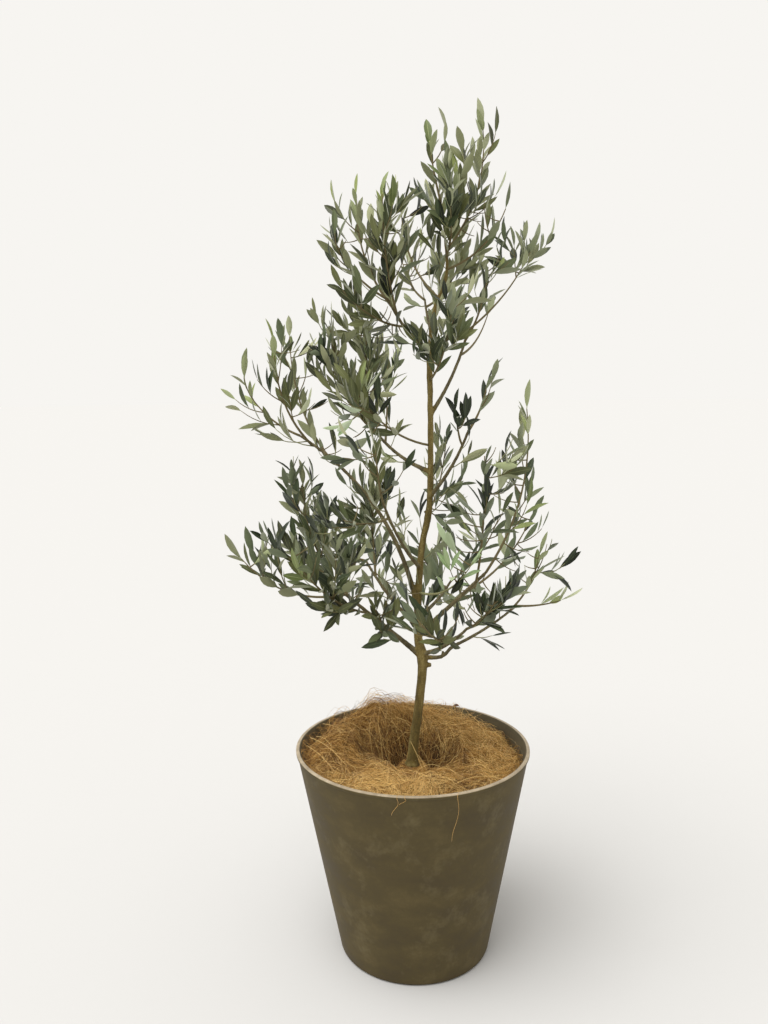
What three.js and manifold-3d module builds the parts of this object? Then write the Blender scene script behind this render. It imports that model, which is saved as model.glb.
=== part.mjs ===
// Potted olive tree: a young olive with one leader, in a tapered round pot topped with coir.
// Millimetres, +Z up. The origin is the centre of the pot's flat underside, and the front is -Y.
import * as THREE from 'three';
import { mergeVertices } from 'three/addons/utils/BufferGeometryUtils.js';
import Module from 'manifold-3d';

const wasm = await Module();
wasm.setup();

// Pot: a straight tapered shell with a rounded foot and a thin rolled lip
const POT_HEIGHT = 315;
const RIM_RADIUS = 188.5;
const BASE_RADIUS = 118;
const WALL = 5;
const FLOOR_THICKNESS = 7;
const FOOT_ROUND = 6;
const FOOT_FACET = 1.8;
const LIP_HEIGHT = 6;
const LIP_STANDOUT = 1.2;
const LIP_ROUND = 2;
const POT_SIDES = 40;

// Corners closer to a straight line than this are left out of a joined solid
const SMALLEST_STEP = 0.05;

// Potting soil, and the coir mulch that lies over it in low mounds
const CLEARANCE = 0.3;
const CUT_CLEARANCE = 0.37;
const SOIL_TOP = 252;
const GROUND_LEVEL = 281;
const COIR_LEVEL = 284;
const COIR_WALL_GAP = 1.5;
const COIR_RINGS = 6;
const COIR_SIDES = 24;
const COIR_DIMPLE_INNER = 30;
const COIR_DIMPLE_OUTER = 62;
const COIR_MOUNDS = [
  { across: -45, depth: 105, rise: 44, spread: 48 },
  { across: -105, depth: 5, rise: 22, spread: 42 },
  { across: 30, depth: -100, rise: 14, spread: 40 },
  { across: -55, depth: -95, rise: 16, spread: 38 },
  { across: 95, depth: 60, rise: 10, spread: 45 },
];

// Trunk: the axis and radius at each height, from the cut at ground level to the leader's tip
const TRUNK_SIDES = 9;
const TRUNK_STEPS = 24;
const TRUNK_STATIONS = [
  { height: 281.3, across: -1, depth: 0, radius: 13 },
  { height: 291, across: 0, depth: 0, radius: 9.2 },
  { height: 320, across: 3, depth: -1, radius: 8 },
  { height: 370, across: 10, depth: -3, radius: 7.5 },
  { height: 430, across: 17, depth: -4, radius: 7.4 },
  { height: 460, across: 17, depth: -3, radius: 9.2 },
  { height: 492, across: 11, depth: 2, radius: 6.6 },
  { height: 560, across: 13, depth: 5, radius: 5.6 },
  { height: 637, across: 20, depth: 6, radius: 5.4 },
  { height: 712, across: 33, depth: 2, radius: 5.1 },
  { height: 863, across: 35, depth: -4, radius: 4.7 },
  { height: 935, across: 34, depth: -2, radius: 4.5 },
  { height: 950, across: 34, depth: -2, radius: 5.8 },
  { height: 968, across: 36, depth: 0, radius: 4 },
  { height: 1028, across: 46, depth: 5, radius: 3.4 },
  { height: 1059, across: 59, depth: 2, radius: 3 },
  { height: 1101, across: 65, depth: -3, radius: 2.6 },
  { height: 1195, across: 56, depth: 0, radius: 1.8 },
];
const STUB = { at: 444, bearing: 338, rise: 8, length: 19, foot: 4, tip: 3 };

// Boughs: where each leaves the trunk, its compass bearing (0 right, 90 back, 180 left, 270 front)
// and rise in degrees, its length, how far it bows below its chord, and its radius at foot and tip
const BOUGH_SIDES = 5;
const BOUGH_STEPS = 4;
const BOUGHS = [
  { name: 'bough_low_left', at: 458, bearing: 199, rise: 41, length: 170, sag: 0, foot: 4.4, tip: 2.6 },
  { name: 'bough_low_back_left', at: 505, bearing: 129, rise: 33, length: 160, sag: 0.05, foot: 3.6, tip: 2.2 },
  { name: 'bough_left_middle', at: 530, bearing: 172, rise: 56, length: 345, sag: -0.11, foot: 4.2, tip: 2.2 },
  { name: 'bough_front_left', at: 600, bearing: 242, rise: 43, length: 170, sag: 0.05, foot: 3.2, tip: 2.1 },
  { name: 'bough_left_upper', at: 757, bearing: 148, rise: 33, length: 135, sag: 0.08, foot: 3.4, tip: 2.4 },
  { name: 'bough_high_left', at: 950, bearing: 203, rise: 50, length: 110, sag: 0.06, foot: 3.2, tip: 2.3 },
  { name: 'bough_high_back', at: 985, bearing: 93, rise: 33, length: 110, sag: 0.06, foot: 2.8, tip: 2 },
  { name: 'bough_high_right', at: 850, bearing: 33, rise: 60, length: 160, sag: 0.05, foot: 3.2, tip: 2.2 },
  { name: 'bough_mid_right', at: 715, bearing: 308, rise: 50, length: 145, sag: 0.05, foot: 3.2, tip: 2.2 },
  { name: 'bough_low_right', at: 491, bearing: 343, rise: 44, length: 155, sag: 0, foot: 4.2, tip: 2.6 },
  { name: 'bough_lowest_right', at: 455, bearing: 19, rise: 22, length: 185, sag: 0.05, foot: 3.2, tip: 2 },
  { name: 'bough_low_front', at: 462, bearing: 305, rise: 30, length: 130, sag: 0.05, foot: 3.4, tip: 2.2 },
  { name: 'bough_low_back', at: 520, bearing: 61, rise: 14, length: 140, sag: 0.05, foot: 3.4, tip: 2.2 },
];

// Foliage masses: the limb each stem leaves, and how far back from that limb's tip, or its height
// on the trunk, then its bearing, rise, length and bow
const MASSES = [
  { name: 'foliage_low_left_outer', on: 'bough_low_left', at: 0, bearing: 194, rise: 22, length: 175, sag: 0.14 },
  { name: 'foliage_low_left_upright', on: 'bough_low_left', at: 25, bearing: 167, rise: 66, length: 215, sag: 0.12 },
  { name: 'foliage_low_left_inner', on: 'bough_low_left', at: 100, bearing: 250, rise: 36, length: 90, sag: 0.06 },
  { name: 'foliage_low_left_front', on: 'bough_low_left', at: 50, bearing: 235, rise: 34, length: 230, sag: 0.08 },
  { name: 'foliage_low_back_outer', on: 'bough_low_back_left', at: 0, bearing: 141, rise: 17, length: 140, sag: 0.06 },
  { name: 'foliage_low_back_upright', on: 'bough_low_back_left', at: 35, bearing: 95, rise: 64, length: 160, sag: 0.1 },
  { name: 'foliage_left_outer', on: 'bough_left_middle', at: 0, bearing: 167, rise: 38, length: 112, sag: 0.08 },
  { name: 'foliage_left_upright_outer', on: 'bough_left_middle', at: 25, bearing: 226, rise: 64, length: 180, sag: 0.12 },
  { name: 'foliage_left_upright_inner', on: 'bough_left_middle', at: 65, bearing: 132, rise: 62, length: 235, sag: 0.12 },
  { name: 'foliage_front_left_upright', on: 'bough_front_left', at: 0, bearing: 261, rise: 48, length: 120, sag: 0.1 },
  { name: 'foliage_front_left_low', on: 'bough_front_left', at: 25, bearing: 236, rise: 6, length: 120, sag: 0.06 },
  { name: 'foliage_left_upper_tall', on: 'bough_left_upper', at: 0, bearing: 101, rise: 78, length: 165, sag: 0.1 },
  { name: 'foliage_left_upper_outer', on: 'bough_left_upper', at: 20, bearing: 211, rise: 61, length: 170, sag: 0.12 },
  { name: 'foliage_left_upper_back', on: 'bough_left_upper', at: 40, bearing: 87, rise: 44, length: 195, sag: 0.12 },
  { name: 'foliage_left_upper_front', on: 'trunk', at: 800, bearing: 221, rise: 31, length: 190, sag: 0.1 },
  { name: 'foliage_high_left_outer', on: 'bough_high_left', at: 0, bearing: 201, rise: 43, length: 120, sag: 0.08 },
  { name: 'foliage_high_left_tall', on: 'bough_high_left', at: 15, bearing: 148, rise: 70, length: 200, sag: 0.1 },
  { name: 'foliage_high_left_inner', on: 'bough_high_left', at: 30, bearing: 250, rise: 70, length: 195, sag: 0.1 },
  { name: 'foliage_high_left_low', on: 'bough_high_left', at: 50, bearing: 232, rise: 17, length: 160, sag: 0.08 },
  { name: 'foliage_high_left_near', on: 'trunk', at: 1040, bearing: 138, rise: 64, length: 175, sag: 0.12 },
  { name: 'foliage_high_back_left', on: 'bough_high_back', at: 0, bearing: 119, rise: 45, length: 105, sag: 0.1 },
  { name: 'foliage_high_back_right', on: 'bough_high_back', at: 20, bearing: 48, rise: 42, length: 130, sag: 0.1 },
  { name: 'foliage_leader_tip', on: 'trunk', at: 1195, bearing: 163, rise: 80, length: 100, sag: 0.02 },
  { name: 'foliage_top_tall', on: 'trunk', at: 1115, bearing: 358, rise: 73, length: 210, sag: 0.1 },
  { name: 'foliage_top_right', on: 'trunk', at: 1085, bearing: 332, rise: 41, length: 135, sag: 0.12 },
  { name: 'foliage_top_front', on: 'trunk', at: 1105, bearing: 279, rise: 59, length: 130, sag: 0.12 },
  { name: 'foliage_high_right_outer', on: 'bough_high_right', at: 0, bearing: 0, rise: 51, length: 170, sag: 0.06 },
  { name: 'foliage_high_right_upright', on: 'bough_high_right', at: 20, bearing: 298, rise: 59, length: 135, sag: 0.1 },
  { name: 'foliage_high_right_back', on: 'bough_high_right', at: 45, bearing: 61, rise: 34, length: 165, sag: 0.1 },
  { name: 'foliage_high_front', on: 'trunk', at: 905, bearing: 285, rise: 46, length: 160, sag: 0.12 },
  { name: 'foliage_mid_right_upright', on: 'bough_mid_right', at: 0, bearing: 335, rise: 67, length: 80, sag: 0.06 },
  { name: 'foliage_mid_right_front', on: 'bough_mid_right', at: 25, bearing: 259, rise: 30, length: 115, sag: 0.1 },
  { name: 'foliage_mid_back', on: 'trunk', at: 690, bearing: 74, rise: 34, length: 195, sag: 0.12 },
  { name: 'foliage_right_tall', on: 'bough_low_right', at: 0, bearing: 16, rise: 74, length: 270, sag: 0.1 },
  { name: 'foliage_right_upright_front', on: 'bough_low_right', at: 22, bearing: 275, rise: 70, length: 220, sag: 0.1 },
  { name: 'foliage_right_outer', on: 'bough_low_right', at: 45, bearing: 38, rise: 34, length: 190, sag: 0.1 },
  { name: 'foliage_right_back', on: 'bough_low_back', at: 0, bearing: 36, rise: 41, length: 155, sag: 0.1 },
  { name: 'foliage_low_back_middle', on: 'bough_low_back', at: 25, bearing: 108, rise: 23, length: 145, sag: 0.1 },
  { name: 'foliage_lowest_right_outer', on: 'bough_lowest_right', at: 0, bearing: 8, rise: 4, length: 78, sag: 0.04 },
  { name: 'foliage_lowest_right_upright', on: 'bough_lowest_right', at: 18, bearing: 331, rise: 61, length: 115, sag: 0.08 },
  { name: 'foliage_low_front_right', on: 'bough_low_front', at: 0, bearing: 300, rise: 38, length: 90, sag: 0.06 },
  { name: 'foliage_low_front_middle', on: 'bough_low_front', at: 40, bearing: 250, rise: 22, length: 175, sag: 0.06 },
  { name: 'foliage_front_young', on: 'trunk', at: 560, bearing: 295, rise: 25, length: 190, sag: 0.1 },
];
const STEM_STEPS = 5;
const STEM_FOOT = 3;
const STEM_TIP = 1.6;

// Side twigs of a mass: three-sided, set round the stem by the golden angle
const TWIG_SIDES = 3;
const TWIG_STEPS = 2;
const TWIG_EVERY = 60;
const TWIG_LENGTH = 78;
const TWIG_SHORTENING = 0.4;
const TWIG_SPREAD = 0.15;
const TWIG_OPENING = 48;
const TWIG_LIFT = 0.45;
const TWIG_SAG = 0.08;
const TWIG_FOOT = 1.35;
const TWIG_TIP = 1.1;
const TWIG_FIRST = 0.2;
const TWIG_LAST = 0.8;
const GOLDEN_ANGLE = 137.5;

// Leaves: opposite pairs, each pair a quarter turn on from the last
const LEAF_LENGTH = 58;
const LEAF_WIDTH = 15;
const LEAF_SPREAD = 0.13;
const LEAF_FOLD = 2;
const LEAF_ROOT_DEPTH = 0.7;
const LEAF_WIDEST = 0.46;
const LEAF_ROOM = 8;
const LEAF_EVERY = 26;
const LEAF_LIFT = 0.35;
const LEAF_OPENINGS = [44, 24];
const END_LEAF_OPENINGS = [8];
const END_LEAF_INSET = 1;
const LEAF_BARE_STEM = 0.3;
const LEAF_BARE_TWIG = 0.28;
const LEAF_BARE_END = 9;
const PAIR_TURN = 90;
const PAIR_SPREAD = 15;

// The space of a mass: how far it reaches from its stem, and what it keeps clear of
const SPACE_REACH = 98;
const SPACE_MARGIN = 4;
const LIMB_CLEARANCE = 2.5;

const COLOURS = {
  pot: 0x655b4d,
  soil: 0x4a382a,
  coir: 0xa8793f,
  bark: 0x75694a,
  leafDark: 0x43563c,
  leafOlive: 0x59643f,
  leafYoung: 0x8c9c62,
};
const ROUGHNESS = { pot: 0.7, fill: 0.95, bark: 0.85, leaf: 0.6 };

/** Numbers from 0 to 1 that are always the same for the same seed. */
function seededNumbers(seed) {
  let state = Math.imul(seed, 2654435761) >>> 0;
  return (low = 0, high = 1) => {
    state = (Math.imul(state, 1664525) + 1013904223) >>> 0;
    return low + ((high - low) * state) / 4294967296;
  };
}

/** The unit vector that points along a bearing at a rise, both in degrees. */
function aim(bearing, rise) {
  const turn = THREE.MathUtils.degToRad(bearing);
  const lift = THREE.MathUtils.degToRad(rise);
  return new THREE.Vector3(
    Math.cos(lift) * Math.cos(turn),
    Math.cos(lift) * Math.sin(turn),
    Math.sin(lift),
  );
}

/** The unit vector square to a direction that points as far down as it can. */
function below(direction) {
  return direction.clone().multiplyScalar(direction.z).sub(new THREE.Vector3(0, 0, 1)).normalize();
}

/** Points along a limb that leaves its start on one side of its chord and turns up towards its end. */
function bowedLine(start, direction, length, sag, steps) {
  const end = start.clone().addScaledVector(direction, length);
  const middle = start.clone().lerp(end, 0.5).addScaledVector(below(direction), 2 * sag * length);
  return new THREE.QuadraticBezierCurve3(start.clone(), middle, end).getPoints(steps);
}

/** The point at a distance along a line of points, and the direction there. */
function placeAlong(line, distance) {
  let left = distance;
  for (let step = 1; step < line.length; step += 1) {
    const span = line[step].clone().sub(line[step - 1]);
    if (left <= span.length() || step === line.length - 1) {
      const along = span.clone().normalize();
      return { point: line[step - 1].clone().addScaledVector(along, left), along };
    }
    left -= span.length();
  }
  throw new Error('A line needs two points');
}

function lineLength(line) {
  return line.slice(1).reduce((sum, point, step) => sum + point.distanceTo(line[step]), 0);
}

/** The unit vector square to a direction, at a turn about it in degrees. */
function sideways(along, turn) {
  const level = along.clone().cross(new THREE.Vector3(0, 0, 1)).normalize();
  const angle = THREE.MathUtils.degToRad(turn);
  return level.multiplyScalar(Math.cos(angle)).addScaledVector(
    level.clone().normalize().cross(along),
    Math.sin(angle),
  );
}

/** A direction that leans out from another by an opening angle, at a turn about it, and then up. */
function leaning(along, turn, opening, lift) {
  const angle = THREE.MathUtils.degToRad(opening);
  const direction = along.clone().multiplyScalar(Math.cos(angle));
  direction.addScaledVector(sideways(along, turn), Math.sin(angle));
  direction.z += lift;
  return direction.normalize();
}

/** A closed indexed geometry from corner points and triangles. */
function closedGeometry(corners, triangles) {
  const geometry = new THREE.BufferGeometry();
  geometry.setAttribute('position', new THREE.Float32BufferAttribute(corners.flatMap((c) => c.toArray()), 3));
  geometry.setIndex(triangles.flat());
  return geometry;
}

/** A tapering limb along a line, with one radius for each point, flat ends and maybe a level foot. */
function taperedLimb(line, radii, sides, levelFoot = false) {
  const corners = [];
  const triangles = [];
  let across = levelFoot ? new THREE.Vector3(1, 0, 0) : sideways(line[1].clone().sub(line[0]).normalize(), 0);
  line.forEach((point, ring) => {
    const before = line[Math.max(ring - 1, 0)];
    const after = line[Math.min(ring + 1, line.length - 1)];
    const ahead = levelFoot && ring === 0 ? new THREE.Vector3(0, 0, 1) : after.clone().sub(before).normalize();
    across = across.clone().projectOnPlane(ahead).normalize();
    const beside = ahead.clone().cross(across);
    for (let side = 0; side < sides; side += 1) {
      const angle = (2 * Math.PI * side) / sides;
      corners.push(
        point.clone()
          .addScaledVector(across, radii[ring] * Math.cos(angle))
          .addScaledVector(beside, radii[ring] * Math.sin(angle)),
      );
    }
  });
  const last = (line.length - 1) * sides;
  for (let side = 0; side < sides; side += 1) {
    const next = (side + 1) % sides;
    for (let ring = 0; ring < last; ring += sides) {
      triangles.push([ring + side, ring + next, ring + sides + next]);
      triangles.push([ring + side, ring + sides + next, ring + sides + side]);
    }
    if (side > 0 && side < sides - 1) {
      triangles.push([0, side + 1, side]);
      triangles.push([last, last + side, last + side + 1]);
    }
  }
  return closedGeometry(corners, triangles);
}

/** One leaf: pointed at both ends, widest near its middle, and folded so that its rib is a keel. */
function leafBlade(leaf) {
  const flat = leaf.direction.clone().cross(leaf.face).normalize();
  const place = (along, across, up) => leaf.root.clone()
    .addScaledVector(leaf.direction, along)
    .addScaledVector(flat, across)
    .addScaledVector(leaf.face, up);
  const widest = leaf.length * LEAF_WIDEST;
  const corners = [
    place(-LEAF_ROOT_DEPTH, 0, 0),
    place(widest, -leaf.width / 2, LEAF_FOLD),
    place(widest, leaf.width / 2, LEAF_FOLD),
    place(leaf.length, 0, 0),
  ];
  const [root, left, right, tip] = [0, 1, 2, 3];
  const triangles = [
    [root, right, left],
    [left, right, tip],
    [root, left, tip],
    [root, tip, right],
  ];
  return { geometry: closedGeometry(corners, triangles), outline: [...corners.slice(left), place(widest, 0, 0)] };
}

/** A geometry without doubled corners or collapsed triangles, as a solid for joining and cutting. */
function solidOf(geometry) {
  const plain = geometry.clone();
  plain.deleteAttribute('normal');
  plain.deleteAttribute('uv');
  const merged = mergeVertices(plain);
  const corners = merged.index.array;
  const kept = [];
  for (let corner = 0; corner < corners.length; corner += 3) {
    const [a, b, c] = corners.slice(corner, corner + 3);
    if (a !== b && b !== c && c !== a) kept.push(a, b, c);
  }
  return new wasm.Manifold(new wasm.Mesh({
    numProp: 3,
    vertProperties: Float32Array.from(merged.attributes.position.array),
    triVerts: Uint32Array.from(kept),
  }));
}

/** The largest body of a solid: hollows that joining sealed are filled and loose scraps are dropped. */
function mainBody(solid) {
  const bodies = solid.asOriginal().simplify(SMALLEST_STEP).decompose();
  return bodies.reduce((largest, body) => (body.volume() > largest.volume() ? body : largest));
}

/** A solid's surface as a geometry. */
function geometryOf(solid) {
  const mesh = solid.getMesh();
  const geometry = new THREE.BufferGeometry();
  geometry.setAttribute('position', new THREE.BufferAttribute(Float32Array.from(mesh.vertProperties), 3));
  geometry.setIndex(Array.from(mesh.triVerts));
  geometry.computeVertexNormals();
  return geometry;
}

/** A named mesh with a plain finish. */
function namedMesh(name, geometry, color, roughness) {
  const mesh = new THREE.Mesh(geometry, new THREE.MeshStandardMaterial({ color, roughness, metalness: 0 }));
  mesh.name = name;
  return mesh;
}

/** The radius of the pot's outer wall at a height. */
function outerRadius(height) {
  return THREE.MathUtils.lerp(BASE_RADIUS, RIM_RADIUS - LIP_STANDOUT, height / POT_HEIGHT);
}

/** A closed profile turned about the upright axis. */
function turned(profile) {
  const points = profile.map(([radius, height]) => new THREE.Vector2(radius, height));
  return geometryOf(solidOf(new THREE.LatheGeometry(points, POT_SIDES).rotateX(Math.PI / 2)));
}

function potShell() {
  const lipFoot = POT_HEIGHT - LIP_HEIGHT;
  const innerRim = outerRadius(POT_HEIGHT) - WALL;
  return turned([
    [0, 0],
    [BASE_RADIUS - FOOT_ROUND, 0],
    [BASE_RADIUS - FOOT_FACET, FOOT_FACET],
    [outerRadius(FOOT_ROUND), FOOT_ROUND],
    [outerRadius(lipFoot), lipFoot],
    [outerRadius(lipFoot) + LIP_STANDOUT, lipFoot + LIP_STANDOUT],
    [RIM_RADIUS, POT_HEIGHT - LIP_ROUND],
    [RIM_RADIUS - LIP_ROUND, POT_HEIGHT],
    [innerRim + LIP_ROUND / 2, POT_HEIGHT],
    [innerRim, POT_HEIGHT - LIP_ROUND],
    [outerRadius(FLOOR_THICKNESS) - WALL, FLOOR_THICKNESS],
    [0, FLOOR_THICKNESS],
  ]);
}

function soilFill() {
  const gap = WALL + 2 * CLEARANCE;
  const foot = FLOOR_THICKNESS + CLEARANCE;
  return turned([
    [0, foot],
    [outerRadius(foot) - gap, foot],
    [outerRadius(SOIL_TOP) - gap, SOIL_TOP],
    [0, SOIL_TOP],
  ]);
}

/** The height of the coir at a place: low mounds, dimpled to ground level round the trunk. */
function coirHeight(across, depth) {
  const mounds = COIR_MOUNDS.reduce((sum, mound) => {
    const away = Math.hypot(across - mound.across, depth - mound.depth) / mound.spread;
    return sum + mound.rise * Math.exp(-away * away / 2);
  }, COIR_LEVEL);
  const fromTrunk = Math.hypot(across - TRUNK_STATIONS[0].across, depth - TRUNK_STATIONS[0].depth);
  const share = THREE.MathUtils.smoothstep(fromTrunk, COIR_DIMPLE_INNER, COIR_DIMPLE_OUTER);
  return THREE.MathUtils.lerp(GROUND_LEVEL, mounds, share);
}

function coirMulch() {
  const foot = SOIL_TOP + CLEARANCE;
  const edge = outerRadius(foot) - WALL - COIR_WALL_GAP;
  const centre = TRUNK_STATIONS[0];
  const corners = [
    new THREE.Vector3(centre.across, centre.depth, GROUND_LEVEL),
    new THREE.Vector3(centre.across, centre.depth, foot),
  ];
  const triangles = [];
  const corner = (ring, side) => 2 + (ring - 1) * COIR_SIDES + (side % COIR_SIDES);
  for (let ring = 1; ring <= COIR_RINGS + 1; ring += 1) {
    const radius = (edge * Math.min(ring, COIR_RINGS)) / COIR_RINGS;
    for (let side = 0; side < COIR_SIDES; side += 1) {
      const angle = (2 * Math.PI * side) / COIR_SIDES;
      const across = centre.across * (1 - radius / edge) + radius * Math.cos(angle);
      const depth = radius * Math.sin(angle);
      corners.push(new THREE.Vector3(across, depth, ring > COIR_RINGS ? foot : coirHeight(across, depth)));
      if (ring === 1) {
        triangles.push([0, corner(1, side), corner(1, side + 1)]);
      } else {
        triangles.push([corner(ring - 1, side), corner(ring, side), corner(ring, side + 1)]);
        triangles.push([corner(ring - 1, side), corner(ring, side + 1), corner(ring - 1, side + 1)]);
      }
      if (ring > COIR_RINGS) triangles.push([1, corner(ring, side + 1), corner(ring, side)]);
    }
  }
  return geometryOf(solidOf(closedGeometry(corners, triangles)));
}

/** The trunk's axis as points at even steps, with a radius for each. */
function trunkLimb() {
  const stations = TRUNK_STATIONS.map((s) => new THREE.Vector3(s.across, s.depth, s.height));
  const axis = new THREE.CatmullRomCurve3(stations, false, 'catmullrom', 0.5);
  const places = Array.from({ length: TRUNK_STEPS + 1 }, (_, step) => step / TRUNK_STEPS);
  const line = places.map((place) => axis.getPoint(place));
  const radii = places.map((place) => {
    const station = Math.min(Math.floor(place * (stations.length - 1)), stations.length - 2);
    const share = place * (stations.length - 1) - station;
    return THREE.MathUtils.lerp(TRUNK_STATIONS[station].radius, TRUNK_STATIONS[station + 1].radius, share);
  });
  return { name: 'trunk', line, radii, sides: TRUNK_SIDES };
}

/** The point on the trunk's axis at a height. */
function trunkPoint(trunk, height) {
  const above = Math.max(1, trunk.line.findIndex((point) => point.z >= height));
  const [lower, upper] = [trunk.line[above - 1], trunk.line[above]];
  return lower.clone().lerp(upper, (height - lower.z) / (upper.z - lower.z));
}

/** A bough's line and radii, from the trunk's axis to its tip. */
function boughLimb(trunk, bough) {
  const start = trunkPoint(trunk, bough.at);
  const line = bowedLine(start, aim(bough.bearing, bough.rise), bough.length, bough.sag, BOUGH_STEPS);
  const radii = taperedRadii(bough.foot, bough.tip, BOUGH_STEPS);
  return { name: bough.name, line, radii, sides: BOUGH_SIDES };
}

/** Radii that fall evenly from one to another over a number of steps. */
function taperedRadii(foot, tip, steps) {
  return Array.from({ length: steps + 1 }, (_, step) => THREE.MathUtils.lerp(foot, tip, step / steps));
}

/** A limb's solid, thicker and longer by an allowance. */
function limbSolid(limb, allowance = 0) {
  const { line } = limb;
  const ahead = line.at(-1).clone().sub(line.at(-2)).normalize();
  const longer = [...line.slice(0, -1), line.at(-1).clone().addScaledVector(ahead, allowance)];
  const radii = limb.radii.map((radius) => radius + allowance);
  return solidOf(taperedLimb(longer, radii, limb.sides, limb.name === 'trunk'));
}

/** The line of a mass's stem, from the axis of the limb that carries it. */
function massStem(mass, limbs) {
  const parent = limbs.get(mass.on);
  const start = mass.on === 'trunk'
    ? trunkPoint(parent, mass.at)
    : placeAlong(parent.line, lineLength(parent.line) - mass.at).point;
  return bowedLine(start, aim(mass.bearing, mass.rise), mass.length, mass.sag, STEM_STEPS);
}

const nearest = new THREE.Vector3();
const span = new THREE.Line3();

/** The distance from a point to a line of points. */
function distanceTo(line, point) {
  let least = Infinity;
  for (let step = 1; step < line.length; step += 1) {
    span.set(line[step - 1], line[step]).closestPointToPoint(point, true, nearest);
    least = Math.min(least, nearest.distanceTo(point));
  }
  return least;
}

/** Whether a point is in a mass's own space: near its stem, nearer than any other, and off the limbs. */
function inOwnSpace(point, mass, stems, limbs) {
  const own = distanceTo(stems.get(mass.name), point);
  if (own > SPACE_REACH) return false;
  for (const [name, line] of stems) {
    if (name !== mass.name && distanceTo(line, point) < own + SPACE_MARGIN) return false;
  }
  for (const limb of limbs.values()) {
    if (distanceTo(limb.line, point) < Math.max(...limb.radii.slice(1)) + LIMB_CLEARANCE) return false;
  }
  return true;
}

/** The side twigs of a mass, set round its stem; one that would leave the space is skipped. */
function sideTwigs(mass, stem, stems, limbs, random) {
  const length = lineLength(stem);
  const count = Math.max(1, Math.round(length / TWIG_EVERY));
  const phase = random(0, 360);
  const twigs = [];
  for (let twig = 0; twig < count; twig += 1) {
    const share = THREE.MathUtils.lerp(TWIG_FIRST, TWIG_LAST, (twig + 0.5) / count);
    const { point, along } = placeAlong(stem, share * length);
    const reach = TWIG_LENGTH * (1 - TWIG_SHORTENING * share) * random(1 - TWIG_SPREAD, 1 + TWIG_SPREAD);
    const direction = leaning(along, phase + twig * GOLDEN_ANGLE, TWIG_OPENING, TWIG_LIFT);
    const line = bowedLine(point, direction, reach, TWIG_SAG, TWIG_STEPS);
    if (line.slice(1).every((place) => inOwnSpace(place, mass, stems, limbs))) twigs.push(line);
  }
  return twigs;
}

/** A leaf that leaves a twig at a place, turn and opening angle. */
function leafAt({ point, along }, turn, opening, random) {
  const direction = leaning(along, turn, opening, LEAF_LIFT);
  const scale = random(1 - LEAF_SPREAD, 1 + LEAF_SPREAD);
  return {
    root: point,
    direction,
    face: along.clone().projectOnPlane(direction).normalize(),
    length: LEAF_LENGTH * scale,
    width: LEAF_WIDTH * scale,
  };
}

/** The leaves along a twig: opposite pairs, then one at its tip. */
function leavesAlong(line, bareShare, inSpace, taken, random) {
  const length = lineLength(line);
  const phase = random(0, 360);
  const blades = [];
  const fits = (point) => inSpace(point) && taken.every((corner) => corner.distanceTo(point) > LEAF_ROOM);
  const tryLeaf = (place, turn, openings) => {
    for (const opening of openings) {
      const blade = leafBlade(leafAt(place, turn, opening, random));
      if (blade.outline.every(fits)) {
        taken.push(...blade.outline);
        blades.push(blade);
        return;
      }
    }
  };
  let pair = 0;
  for (let away = bareShare * length; away < length - LEAF_BARE_END; away += LEAF_EVERY) {
    const place = placeAlong(line, away);
    const turn = phase + pair * PAIR_TURN + random(-PAIR_SPREAD, PAIR_SPREAD);
    tryLeaf(place, turn, LEAF_OPENINGS);
    tryLeaf(place, turn + 180, LEAF_OPENINGS);
    pair += 1;
  }
  tryLeaf(placeAlong(line, length - END_LEAF_INSET), phase, END_LEAF_OPENINGS);
  return blades;
}

/** One foliage mass: its stem, side twigs and leaves joined, and cut clear of the limb it leaves. */
function foliageMass(mass, seed, stems, limbs) {
  const random = seededNumbers(seed);
  const stem = stems.get(mass.name);
  const twigs = sideTwigs(mass, stem, stems, limbs, random);
  const inSpace = (point) => inOwnSpace(point, mass, stems, limbs);
  const taken = [];
  const stemRadii = taperedRadii(STEM_FOOT, STEM_TIP, STEM_STEPS);
  const twigRadii = taperedRadii(TWIG_FOOT, TWIG_TIP, TWIG_STEPS);
  const blades = [
    ...leavesAlong(stem, LEAF_BARE_STEM, inSpace, taken, random),
    ...twigs.flatMap((twig) => leavesAlong(twig, LEAF_BARE_TWIG, inSpace, taken, random)),
  ];
  const pieces = [
    taperedLimb(stem, stemRadii, TWIG_SIDES),
    ...twigs.map((twig) => taperedLimb(twig, twigRadii, TWIG_SIDES)),
    ...blades.map((blade) => blade.geometry),
  ];
  const joined = pieces.map(solidOf).reduce((sum, piece) => sum.add(piece));
  return mainBody(joined.subtract(limbSolid(limbs.get(mass.on), CUT_CLEARANCE)));
}

/** The trunk with the short cut stub of an old limb under its fork, thicker by an allowance. */
function trunkSolid(trunk, allowance = 0) {
  const line = bowedLine(trunkPoint(trunk, STUB.at), aim(STUB.bearing, STUB.rise), STUB.length, 0, 1);
  const stub = limbSolid({ name: 'stub', line, radii: [STUB.foot, STUB.tip], sides: BOUGH_SIDES }, allowance);
  return limbSolid(trunk, allowance).add(stub);
}

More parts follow.
